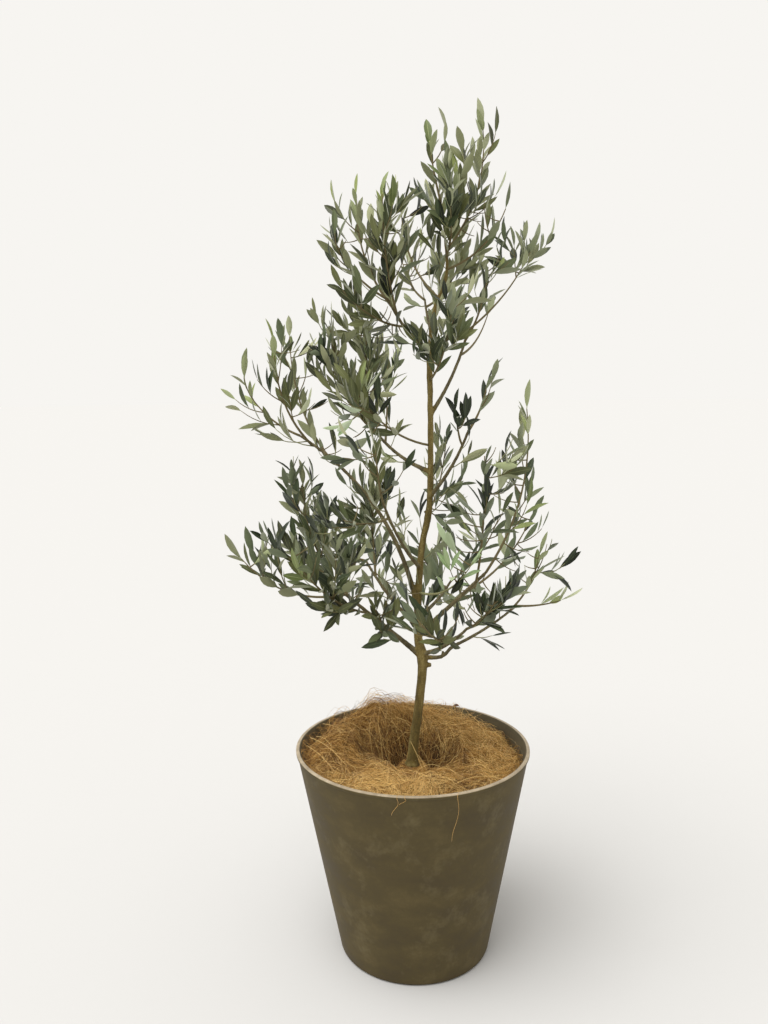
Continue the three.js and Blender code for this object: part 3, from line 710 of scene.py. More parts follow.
def tubes(name: str, limbs: list[Limb], roundness: int) -> bpy.types.Mesh:
    """Make closed tubes along limbs as one mesh.

    Args:
        name: The mesh's name.
        limbs: The lines and radii, in millimetres.
        roundness: The bevel steps of each tube: 0 gives four sides, and each step two more.

    Returns:
        The mesh, in metres.
    """
    curve = bpy.data.curves.new(name, "CURVE")
    curve.dimensions = "3D"
    curve.bevel_depth = MM
    curve.bevel_resolution = roundness
    curve.use_fill_caps = True
    for limb in limbs:
        spline = curve.splines.new("POLY")
        spline.points.add(len(limb.line) - 1)
        spline.points.foreach_set("co", [c for p in limb.line for c in (p.x * MM, p.y * MM, p.z * MM, 1.0)])
        spline.points.foreach_set("radius", limb.radii)
    mesh = mesh_from(bpy.data.objects.new(name, curve))
    bpy.data.curves.remove(curve)
    mesh.materials.clear()
    shape = bmesh.new()
    shape.from_mesh(mesh)
    bmesh.ops.remove_doubles(shape, verts=shape.verts, dist=TUBE_WELD * MM)
    bmesh.ops.recalc_face_normals(shape, faces=shape.faces)
    shape.to_mesh(mesh)
    shape.free()
    mesh.shade_smooth()
    return mesh


@dataclass
class Skeleton:
    """The lines of the trunk, the boughs and the stems, grown by the rule of the solids' source."""

    trunk_steps: int = 24
    bough_steps: int = 4
    stem_steps: int = 5
    limbs: dict[str, Limb] = field(default_factory=dict)
    stems: dict[str, Line] = field(default_factory=dict)

    def grow(self) -> None:
        """Work out every limb and stem."""
        self.limbs[TRUNK] = self.trunk_limb(self.trunk_steps)
        for bough in BOUGHS:
            radii = [bough.radius(step / self.bough_steps) for step in range(self.bough_steps + 1)]
            self.limbs[bough.name] = Limb(self.bough_line(bough, self.bough_steps), radii)
        for mass in MASSES:
            self.stems[mass.name] = self.stem_line(mass, self.stem_steps)

    def trunk_limb(self, steps: int) -> Limb:
        """Return the trunk's smooth axis and radii.

        Args:
            steps: The number of even steps along its stations.

        Returns:
            The limb, whose line passes through every station.
        """
        points = [Vector((across, depth, height)) for height, across, depth, _ in TRUNK_STATIONS]
        points = [points[0] * 2 - points[1], *points, points[-1] * 2 - points[-2]]
        last = len(TRUNK_STATIONS) - 1
        line, radii = [], []
        for step in range(steps + 1):
            place = step / steps * last
            station = min(int(place), last - 1)
            t = place - station
            p0, p1, p2, p3 = points[station : station + 4]
            out, back = (p2 - p0) / 2, (p3 - p1) / 2
            bend = (p1 * 2 - p2 * 2 + out + back) * t**3 + (p2 * 3 - p1 * 3 - out * 2 - back) * t**2
            line.append(bend + out * t + p1)
            low, high = (row[-1] for row in TRUNK_STATIONS[station : station + 2])
            radii.append(low + (high - low) * t)
        return Limb(line, radii)

    def trunk_point(self, height: float) -> Vector:
        """Return the point on the trunk's axis at a height.

        Args:
            height: The height in millimetres.

        Returns:
            The point.
        """
        line = self.limbs[TRUNK].line
        above = next((i for i, point in enumerate(line) if i and point.z >= height), 1)
        lower, upper = line[above - 1], line[above]
        return lower.lerp(upper, (height - lower.z) / (upper.z - lower.z))

    def bough_line(self, bough: Bough, steps: int) -> Line:
        """Return a bough's line in so many steps, from the trunk's axis."""
        way = aim(bough.bearing, bough.rise)
        return bowed_line(self.trunk_point(bough.at), way, bough.length, bough.sag, steps)

    def stem_line(self, mass: Mass, steps: int) -> Line:
        """Return the line of a mass's stem in so many steps, from the axis of the limb that carries it.

        Args:
            mass: The mass.
            steps: The number of the line's steps.

        Returns:
            Its points.
        """
        if mass.on == TRUNK:
            start = self.trunk_point(mass.at)
        else:
            carrier = self.limbs[mass.on].line
            start = place_along(carrier, line_length(carrier) - mass.at)[0]
        return bowed_line(start, aim(mass.bearing, mass.rise), mass.length, mass.sag, steps)


@dataclass
class OwnSpace:
    """The space that each mass keeps to: near its own stem, nearer than to any other, and off the limbs."""

    skeleton: Skeleton
    reach: float = 98
    margin: float = 4
    limb_clearance: float = 2.5
    box_room: float = 4

    def __post_init__(self) -> None:
        """Lay the stems and limbs out as arrays of straight steps."""
        self.names = list(self.skeleton.stems)
        self.stem_steps = self.steps_of(list(self.skeleton.stems.values()))
        limbs = list(self.skeleton.limbs.values())
        self.limb_steps = self.steps_of([limb.line for limb in limbs])
        self.limb_room = np.array(
            [max(limb.radii[1:]) + self.limb_clearance for limb in limbs for _ in limb.line[1:]]
        )
        self.low = np.array(CAD_BOX[0]) / MM - self.box_room
        self.high = np.array(CAD_BOX[1]) / MM + self.box_room

    @staticmethod
    def steps_of(lines: list[Line]) -> tuple[np.ndarray, np.ndarray]:
        """Return the starts and the spans of the steps of all these lines, one after another.

        Args:
            lines: The lines.

        Returns:
            The starts and the spans, a row for each step.
        """
        starts = np.array([point for line in lines for point in line[:-1]])
        ends = np.array([point for line in lines for point in line[1:]])
        return starts, ends - starts

    @staticmethod
    def distances(steps: tuple[np.ndarray, np.ndarray], points: np.ndarray) -> np.ndarray:
        """Return the distance from each point to each step, from the steps' starts and spans.

        Args:
            steps: The starts and the spans of the steps.
            points: The points.

        Returns:
            A row for each point, with its distance from each step.
        """
        starts, spans = steps
        away = points[:, None, :] - starts[None]
        share = np.clip((away * spans[None]).sum(2) / (spans**2).sum(1)[None], 0, 1)
        return np.linalg.norm(away - share[:, :, None] * spans[None], axis=2)

    def to_stems(self, points: np.ndarray) -> np.ndarray:
        """Return the distance from each point to each mass's stem."""
        return self.distances(self.stem_steps, points).reshape(len(points), len(self.names), -1).min(2)

    def holds(self, name: str, points: Line) -> bool:
        """Say whether all these points are in the own space of the mass of this name.

        Args:
            name: The mass's name.
            points: The points.

        Returns:
            True if none of them leaves that space.
        """
        places = np.array(points)
        if (places < self.low).any() or (places > self.high).any():
            return False
        away = self.to_stems(places)
        own = away[:, self.names.index(name)].copy()
        away[:, self.names.index(name)] = np.inf
        if own.max() > self.reach or (away.min(1) < own + self.margin).any():
            return False
        return bool((self.distances(self.limb_steps, places) >= self.limb_room).all())

    def nearest(self, point: Vector) -> Mass:
        """Return the mass whose stem is nearest to a point."""
        return MASSES[int(self.to_stems(np.array([point])).argmin())]


@dataclass
class Studio:
    """The photograph's viewpoint, with a plain pale floor and soft light."""

    lens_mm: float = 31.64
    sensor_mm: float = 36.0
    place: tuple[float, float, float] = (-56.4, -1463.0, 904.0)
    roll: float = -0.011
    shift: Span = (0.0101, -0.127)
    sight_m: float = 100
    floor_radius: float = 40.0
    floor_sides: int = 96
    key_from: tuple[float, float, float] = (-0.35, -0.3, 1.0)
    key_strength: float = 2.7
    key_softness: float = 50
    room_colour: str = "f7f5f1"
    room_strength: float = 1.0
    floor_skin: PlainSkin = PlainSkin("studio_floor_matt", "c3c2c0", 1.0, 0.0, 0.0)

    def build(self) -> None:
        """Set the camera, the floor, the key light and the surrounding light."""
        self.camera()
        shape = bmesh.new()
        bmesh.ops.create_circle(shape, cap_ends=True, radius=self.floor_radius, segments=self.floor_sides)
        put_in_scene("studio_floor", mesh_of("studio_floor", shape), [self.floor_skin])
        self.sun()
        world = bpy.data.worlds.new("pale_room")
        world.use_nodes = True
        room = world.node_tree.nodes["Background"]
        room.inputs["Color"].default_value = linear(self.room_colour)
        room.inputs["Strength"].default_value = self.room_strength
        bpy.context.scene.world = world
        bpy.context.scene.view_settings.view_transform = "Standard"

    def camera(self) -> None:
        """Stand the camera where the photograph was taken, level and looking along +Y."""
        data = bpy.data.cameras.new("photograph_view")
        data.lens = self.lens_mm
        data.sensor_width = self.sensor_mm
        data.sensor_fit = "AUTO"
        data.shift_x, data.shift_y = self.shift
        data.clip_end = self.sight_m
        camera = bpy.data.objects.new("photograph_view", data)
        level = Matrix.Rotation(math.radians(FULL_TURN / 4), 4, "X")
        rolled = Matrix.Rotation(self.roll, 4, "Z")
        camera.matrix_world = Matrix.Translation(Vector(self.place) * MM) @ level @ rolled
        bpy.context.scene.collection.objects.link(camera)
        bpy.context.scene.camera = camera

    def sun(self) -> None:
        """Hang the wide soft key light, high at the left and a little in front."""
        data = bpy.data.lights.new("soft_key", "SUN")
        data.energy = self.key_strength
        data.angle = math.radians(self.key_softness)
        lamp = bpy.data.objects.new("soft_key", data)
        lamp.rotation_euler = Vector(self.key_from).to_track_quat("Z", "Y").to_euler()
        bpy.context.scene.collection.objects.link(lamp)


@dataclass
class Pot:
    """The round tapered pot: a straight wall, a small rounded foot, a thin lip and a ledge inside."""

    height: float = 315
    rim_radius: float = 188.5
    base_radius: float = 118
    wall: float = 5
    floor_thickness: float = 7
    foot_round: float = 5
    lip_height: float = 6
    lip_standout: float = 1.2
    lip_round: float = 1.6
    lip_foot_rounds: Span = (0.6, 0.8)
    lip_draft: float = 0.4
    pale_edge_mm: float = 1.9
    ledge_drop: float = 16
    ledge_depth: float = 1.2
    ledge_width: float = 2.4
    ledge_rounds: tuple[float, float, float] = (0.3, 0.5, 0.3)
    inside_room: float = 1
    sides: int = 144
    round_segments: int = 4
    sharp_from: float = 50

    def outer_radius(self, height: float) -> float:
        """Return the radius of the outer wall at a height."""
        spread = self.rim_radius - self.lip_standout - self.base_radius
        return self.base_radius + spread * height / self.height

    def inner_radius(self, height: float) -> float:
        """Return the radius of the inner wall at a height."""
        return self.outer_radius(height) - self.wall

    def profile(self) -> list[tuple[float, float, float]]:
        """Return the section's corners: radius, height and how far each is rounded.

        Returns:
            The corners, from the middle of the underside to the middle of the floor inside.
        """
        lip_foot = self.height - self.lip_height
        ledge = self.height - self.ledge_drop
        ledge_foot = ledge - self.ledge_width
        ledge_middle = ledge - self.ledge_width / 2
        return [
            (0, 0, 0),
            (self.base_radius, 0, self.foot_round),
            (self.outer_radius(lip_foot), lip_foot, self.lip_foot_rounds[0]),
            (self.rim_radius - self.lip_draft, lip_foot + self.lip_standout, self.lip_foot_rounds[1]),
            (self.rim_radius, self.height, self.lip_round),
            (self.inner_radius(self.height), self.height, self.lip_round),
            (self.inner_radius(ledge), ledge, self.ledge_rounds[0]),
            (self.inner_radius(ledge) - self.ledge_depth, ledge_middle, self.ledge_rounds[1]),
            (self.inner_radius(ledge_foot), ledge_foot, self.ledge_rounds[2]),
            (self.inner_radius(self.floor_thickness), self.floor_thickness, 0),
            (0, self.floor_thickness, 0),
        ]

    def build(self) -> None:
        """Spin the section into a closed shell, and finish its outside, edge and inside."""
        shape = bmesh.new()
        corners = [(shape.verts.new((out * MM, 0, up * MM)), round_) for out, up, round_ in self.profile()]
        for (before, _), (after, _) in zip(corners, corners[1:]):
            shape.edges.new((before, after))
        for corner, round_ in corners:
            if round_:
                bmesh.ops.bevel(
                    shape, geom=[corner], offset=round_ * MM, offset_type="OFFSET",
                    segments=self.round_segments, profile=0.5, affect="VERTICES", material=-1,
                )
        spin_closed(shape, self.sides)
        for face in shape.faces:
            centre = face.calc_center_median() / MM
            reach = math.hypot(centre.x, centre.y)
            inside = reach < self.inner_radius(centre.z) + self.inside_room and centre.z > 1
            on_pale_edge = centre.z > self.height - self.pale_edge_mm
            face.material_index = 2 if inside else int(on_pale_edge)
            face.smooth = True
        mesh = mesh_of("round_pot", shape)
        mesh.set_sharp_from_angle(angle=math.radians(self.sharp_from))
        add_piece("round_pot", mesh, [POT_OUTSIDE, POT_LIP, POT_INSIDE], ["pot"])


class FibreTone(Enum):
    """The shades of coconut fibre, dealt out partly at random and partly as painted light on the ridges and
    painted shade in the hollows: dry, with a faint fuzz.
    """

    PALE = PlainSkin("coconut_fibre_pale", "ebc67a", 0.75, 0.15)
    GOLDEN = PlainSkin("coconut_fibre_golden", "c3964b", 0.78, 0.15)
    AMBER = PlainSkin("coconut_fibre_amber", "966c2c", 0.8, 0.1)
    BROWN = PlainSkin("coconut_fibre_brown", "5b3d13", 0.84, 0.05)


@dataclass
class CoirMulch:
    """The coconut fibre over the soil: a matted mound under thousands of loose strands."""

    mat_foot: float = 252.5
    ground_level: float = 281
    level: float = 284
    foot_edge: float = 166.5
    rim_edge: float = 174
    dimple: Span = (30, 62)
    rings: int = 56
    sides: int = 144
    clump_mm: float = 5.5
    clump_width: float = 19
    clump_grain: tuple[float, float, int] = (1.0, 2.0, 4)
    lump_mm: float = 8
    lump_width: float = 40
    lump_layer: float = 30
    mat_sink: float = 1
    # The hollow that runs to the left and right of the trunk, sunk into the mat and darkened with painted
    # shade
    hollow_drop: float = 22
    hollow_depth: float = 26
    hollow_width: float = 27
    hollow_across: Span = (-100, 86)
    hollow_ends: float = 24
    hollow_right: tuple[float, float, float] = (0, 60, 0.25)
    hollow_clear: Span = (18, 34)
    shaded_from: float = 0.35
    # The mounds and the thicker heaps on them: across, depth, rise and spread
    mounds: tuple[tuple[float, ...], ...] = (
        (-45, 105, 44, 48), (-105, 5, 22, 42), (30, -100, 14, 40), (-55, -95, 16, 38), (95, 60, 10, 45),
    )
    heaps: tuple[tuple[float, ...], ...] = (
        (96, 104, 13, 36), (30, 118, 17, 40), (-108, 112, 14, 34),
        (-150, 36, 11, 34), (-142, -52, 7, 32), (132, 30, 8, 30),
    )
    # The places where the shades paint light and shade onto the strands: from and to, as across or depth
    front_ridge: Span = (35, 105)
    ridge_fade: tuple[float, float, float] = (5, 50, 0.75)
    left_side: Span = (50, 110)
    left_fade: float = 0.7
    right_side: Span = (75, 125)
    back_side: Span = (60, 100)
    back_right: Span = (-40, 20)
    right_fade: tuple[float, float, float] = (40, 90, 0.5)
    painted_shade_patch: tuple[Span, Span, Span] = ((25, 50), (85, 115), (80, 115))
    # The share of brown, of amber after it, and where pale begins: everywhere, then added in the hollow,
    # on the front ridge, at the left, at the right and in the patch of painted shade; brown is painted shade,
    # pale painted light
    brown_share: tuple[float, ...] = (0.12, 0.66, -0.08, 0.14, -0.08, 0.26)
    amber_share: tuple[float, ...] = (0.3, 0, -0.16, 0, -0.14, 0)
    pale_from: tuple[float, ...] = (0.84, 0, -0.38, 0.08, -0.26, 0)
    # The strands
    seed: int = 77
    seeds_each: int = 1000
    strands: int = 8600
    strand_steps: int = 7
    step_mm: float = 8.5
    lock_mm: float = 52
    lock_layer: float = 7
    lock_turn: float = 5.2
    stray: float = 0.75
    curl: float = 0.2
    waver: float = 0.14
    loose_rarity: int = 4
    loose_lift: Span = (8, 20)
    loose_back: Span = (50, 110)
    rest_lift: Span = (0.1, 2.2)
    trunk_room: float = 15
    edge_room: float = 1
    start_room: float = 2
    short_end: tuple[float, float, float] = (2, 2, 1)
    radii: Span = (0.12, 0.25)
    # One strand in this many of the fringe is golden among amber, and at the foot amber among golden
    one_in: int = 3
    # Fibre that leans on the wall: how many strands, from and to which bearing, and their highest rise
    fringe: tuple[tuple[int, float, float, float], ...] = ((420, 95, 262, 27), (260, -98, 95, 14))
    fringe_lift: float = 4
    fringe_rise: float = 3
    fringe_arch: float = 1.9
    fringe_drift: float = 0.22
    fringe_drift_power: float = 1.5
    fringe_foot: Span = (14, 30)
    fringe_foot_power: float = 1.6
    wall_foot: float = 112
    wall_lean: float = 0.22
    # Strands at the trunk's foot: how many, how far round, how near, how far they run and how high they lie
    foot_strands: int = 240
    foot_drift: float = 1.2
    foot_away: Span = (11.5, 16)
    foot_spread: Span = (2, 28)
    foot_lift: Span = (0.4, 2.4)
    # Loose strands that hang over the front rim: across, and how low the end reaches
    hanging: tuple[Span, ...] = ((-33, 288), (53, 246), (-22, 304))
    hanging_steps: int = 8
    hanging_radius: float = 0.22
    # Their start just above the mulch, their place over the rim and the top of their hanging end
    hanging_start: tuple[float, float, float] = (14, -138, 1)
    hanging_over: tuple[float, float, float] = (3, -187.5, 316.0)
    hanging_top: tuple[float, float, float] = (3, -189.5, 313.4)
    # The shares of the way to the rim where they rise above it, and how far
    hanging_arch: tuple[Span, ...] = ((0.3, 5), (0.7, 6))
    # How far they drift and sway to the side, and how far the wall leans in under them
    hanging_drift: float = 5
    hanging_sway: float = 3.2
    hanging_waves: float = 1.6
    hanging_lean: float = 0.19
    # Long pale strands that spring from the rim to the mulch: first point, last point and rise
    arcs: tuple[tuple, ...] = (
        ((-168, 26, 317), (-98, -58, 296), 9), ((-172, 6, 312), (-112, -84, 292), 7),
        ((-150, 88, 316), (-84, 20, 306), 8), ((-160, 52, 308), (-120, -20, 300), 12),
        ((128, -84, 296), (40, -120, 292), 10), ((60, 120, 292), (4, 46, 300), 14),
        ((-3, -8, 322), (16, -38, 284), 3), ((22, -34, 284), (-6, 24, 292), 12),
        ((52, -20, 280), (6, -34, 286), 10),
    )
    arc_steps: int = 10
    arc_radius: float = 0.3

    def hollow(self, across: float, depth: float) -> float:
        """Return how deep in the shaded hollow a place is, from 0 to 1.

        Args:
            across: The place, to the right.
            depth: The place, to the back.

        Returns:
            The depth as a share of the deepest.
        """
        left, right = self.hollow_across
        first, last, fade = self.hollow_right
        level = math.exp(-(((depth - self.hollow_depth) / self.hollow_width) ** 2) / 2)
        inside = eased(across, left, left + self.hollow_ends)
        inside *= 1 - eased(across, right - self.hollow_ends, right)
        inside *= 1 - fade * eased(across, first, last)
        return level * inside * eased(math.hypot(across, depth), *self.hollow_clear)

    def surface(self, across: float, depth: float) -> float:
        """Return the height of the clumped fibre at a place, in millimetres.

        Args:
            across: The place, to the right.
            depth: The place, to the back.

        Returns:
            The height above the floor.
        """
        top = heaped(self.mounds, across, depth, self.level)
        foot = TRUNK_STATIONS[0]
        share = eased(math.hypot(across - foot[1], depth - foot[2]), *self.dimple)
        mound = self.ground_level + (top - self.ground_level) * share
        place = Vector((across, depth, 0))
        clump = noise.fractal(place / self.clump_width, *self.clump_grain) * self.clump_mm
        clump += noise.noise(Vector((across, depth, self.lump_layer)) / self.lump_width) * self.lump_mm
        clump *= eased(math.hypot(across, depth), *self.hollow_clear)
        clump = heaped(self.heaps, across, depth, clump)
        return mound - self.hollow(across, depth) * self.hollow_drop + clump - self.mat_sink

    def build(self) -> None:
        """Make the mat and the strands, and stand them for the mulch."""
        add_piece("coir_mat", self.mat(), [COIR_MAT, COIR_PAINTED_SHADE], ["coir_mulch"])
        dealt = {tone: [] for tone in FibreTone}
        for number in range(self.strands):
            random = SeededNumbers(self.seed * self.seeds_each + number)
            across, depth = self.start(random)
            dealt[self.tone(across, depth, random)].append(self.strand(across, depth, random))
        dealt[FibreTone.GOLDEN] += [self.hanging_strand(*strand) for strand in self.hanging]
        dealt[FibreTone.PALE] += [self.arc(*arc) for arc in self.arcs]
        random = SeededNumbers(self.seed)
        for count, first, last, highest in self.fringe:
            for number in range(count):
                tone = FibreTone.AMBER if number % self.one_in else FibreTone.GOLDEN
                dealt[tone].append(self.wall_strand(random.between(first, last), highest, random))
        for number in range(self.foot_strands):
            tone = FibreTone.GOLDEN if number % self.one_in else FibreTone.AMBER
            dealt[tone].append(self.foot_strand(random))
        for tone, limbs in dealt.items():
            name = tone.value.name
            add_piece(name, tubes(name, limbs, 0), [tone.value], ["coir_mulch"])

    def mat(self) -> bpy.types.Mesh:
        """Return the mound as a closed mesh whose top is raised in clumps.

        Returns:
            The mesh, in metres.
        """
        shape = bmesh.new()
        reaches, heights = (0, self.foot_edge, self.rim_edge, 0), (self.mat_foot,) * 2 + (self.level,) * 2
        corners = [shape.verts.new((out * MM, 0, up * MM)) for out, up in zip(reaches, heights)]
        edges = [shape.edges.new(pair) for pair in zip(corners, corners[1:])]
        bmesh.ops.subdivide_edges(shape, edges=edges[-1:], cuts=self.rings - 1)
        spin_closed(shape, self.sides)
        for corner in shape.verts:
            if corner.co.z > (self.level - 1) * MM:
                corner.co.z = self.surface(corner.co.x / MM, corner.co.y / MM) * MM
        for face in shape.faces:
            centre = face.calc_center_median() / MM
            # Painted shade: the faces deep in the hollow take the mat's darker copy
            face.material_index = int(self.hollow(centre.x, centre.y) > self.shaded_from)
            face.smooth = True
        return mesh_of("coir_mat", shape)

    def start(self, random: SeededNumbers) -> Span:
        """Return a place on the mulch, clear of the trunk's foot.

        Args:
            random: The strand's own numbers.

        Returns:
            The place: across and depth.
        """
        turn = random.between(0, ROUND)
        nearest, farthest = self.trunk_room + self.start_room, self.rim_edge - self.start_room
        away = nearest + (farthest - nearest) * math.sqrt(random.between())
        return away * math.cos(turn), away * math.sin(turn)

    def tone(self, across: float, depth: float, random: SeededNumbers) -> FibreTone:
        """Choose a strand's shade: brown as painted shade in the hollow, and palest as painted light on the
        front ridge.

        Args:
            across: Where it starts, to the right.
            depth: Where it starts, to the back.
            random: The strand's own numbers.

        Returns:
            The shade.
        """
        draw = random.between()
        ridge = eased(-depth, *self.front_ridge)
        ridge *= 1 - self.ridge_fade[2] * eased(across, *self.ridge_fade[:2])
        left = eased(-across, *self.left_side) * (1 - self.left_fade * ridge)
        back = eased(depth, *self.back_side) * eased(across, *self.back_right)
        right = max(eased(across, *self.right_side), back)
        right *= 1 - self.right_fade[2] * eased(-depth, *self.right_fade[:2])
        # A patch of painted shade at the front right
        first, last, front = self.painted_shade_patch
        patch = eased(across, *first) * (1 - eased(across, *last)) * eased(-depth, *front)
        here = (1, self.hollow(across, depth), ridge, left, right, patch)
        brown, amber, pale = (
            sum(share * place for share, place in zip(shares, here))
            for shares in (self.brown_share, self.amber_share, self.pale_from)
        )
        if draw < brown:
            return FibreTone.BROWN
        if draw < brown + amber:
            return FibreTone.AMBER
        return FibreTone.PALE if draw > pale else FibreTone.GOLDEN

    def strand(self, across: float, depth: float, random: SeededNumbers) -> Limb:
        """Return one loose strand that wanders over the mound from a place.

        Args:
            across: Where it starts, to the right.
            depth: Where it starts, to the back.
            random: The strand's own numbers.

        Returns:
            Its line and radii in millimetres.
        """
        lock = noise.noise(Vector((across, depth, self.lock_layer)) / self.lock_mm)
        heading = lock * self.lock_turn + random.between(-self.stray, self.stray)
        curl = random.between(-self.curl, self.curl)
        least, more = self.loose_lift
        loose = random.between() ** self.loose_rarity * (least + more * eased(depth, *self.loose_back))
        rest = random.between(*self.rest_lift)
        line = []
        for step in range(self.strand_steps + 1):
            lift = rest + loose * math.sin(math.pi * (step + 1) / (self.strand_steps + 1))
            line.append(Vector((across, depth, self.surface(across, depth) + lift)))
            heading += curl + random.between(-self.waver, self.waver)
            next_across = across + self.step_mm * math.cos(heading)
            next_depth = depth + self.step_mm * math.sin(heading)
            if not self.trunk_room <= math.hypot(next_across, next_depth) <= self.rim_edge - self.edge_room:
                break
            across, depth = next_across, next_depth
        if len(line) <= 2:
            line.append(line[-1] + Vector(self.short_end))
        return self.fibre(line, random.between(*self.radii))

    @staticmethod
    def fibre(line: Line, radius: float) -> Limb:
        """Return a strand of one even radius along a line."""
        return Limb(line, [radius] * len(line))

    def hanging_strand(self, across: float, low: float) -> Limb:
        """Return a strand that rises from the mulch, crosses the front rim and hangs down the wall.

        Args:
            across: Where it hangs, to the right.
            low: The height that its end reaches.

        Returns:
            Its line and radii.
        """
        start, over, top = (
            Vector(place) + Vector((across, 0, 0))
            for place in (self.hanging_start, self.hanging_over, self.hanging_top)
        )
        start.z += self.surface(start.x, start.y)
        line = [start, *(start.lerp(over, share) + UP * rise for share, rise in self.hanging_arch), over]
        for step in range(self.hanging_steps + 1):
            share = step / self.hanging_steps
            drop = (top.z - low) * share
            sway = self.hanging_sway * math.sin(share * math.pi * self.hanging_waves)
            # The wall leans in below the rim, and the strand hangs just clear of it
            line.append(top + Vector((sway - self.hanging_drift * share, drop * self.hanging_lean, -drop)))
        return self.fibre(line, self.hanging_radius)

    def wall_strand(self, bearing: float, highest: float, random: SeededNumbers) -> Limb:
        """Return a strand that leans on the pot's wall, curling up from the mulch.

        Args:
            bearing: Where it leans, in degrees.
            highest: The highest rise of its end.
            random: The fringe's numbers.

        Returns:
            Its line and radii.
        """
        turn = math.radians(bearing)
        rise = random.between(self.fringe_rise, highest)
        drift = random.between(-self.fringe_drift, self.fringe_drift)
        start, line = random.between(*self.fringe_foot), []
        for step in range(self.strand_steps):
            share = step / (self.strand_steps - 1)
            angle = turn + drift * share**self.fringe_drift_power
            height = self.level + self.fringe_lift + rise * math.sin(share * self.fringe_arch)
            inward = start * (1 - share) ** self.fringe_foot_power
            away = self.wall_foot + self.wall_lean * height - inward
            line.append(Vector((away * math.cos(angle), away * math.sin(angle), height)))
        return self.fibre(line, random.between(*self.radii))

    def foot_strand(self, random: SeededNumbers) -> Limb:
        """Return a strand that runs up to the trunk's foot, or part of the way round it.

        Args:
            random: The numbers of these strands.

        Returns:
            Its line and radii.
        """
        turn, drift = random.between(0, ROUND), random.between(-self.foot_drift, self.foot_drift)
        spans = (self.foot_away, self.foot_spread, self.foot_lift)
        away, spread, lift = (random.between(*span) for span in spans)
        line = []
        for step in range(self.strand_steps):
            share = step / (self.strand_steps - 1)
            angle, reach = turn + drift * share, away + spread * share
            across, depth = reach * math.cos(angle), reach * math.sin(angle)
            height = self.surface(across, depth) + lift * (1 + math.sin(math.pi * share))
            line.append(Vector((across, depth, height)))
        return self.fibre(line, random.between(*self.radii))

    def arc(self, first: tuple, last: tuple, rise: float) -> Limb:
        """Return a long strand that arches from one point to another by a rise.

        Args:
            first: One end.
            last: The other end.
            rise: The height of the arch.

        Returns:
            Its line and radii.
        """
        ends = Vector(first), Vector(last)
        shares = [step / self.arc_steps for step in range(self.arc_steps + 1)]
        line = [ends[0].lerp(ends[1], s) + UP * (rise * math.sin(math.pi * s)) for s in shares]
        return self.fibre(line, self.arc_radius)


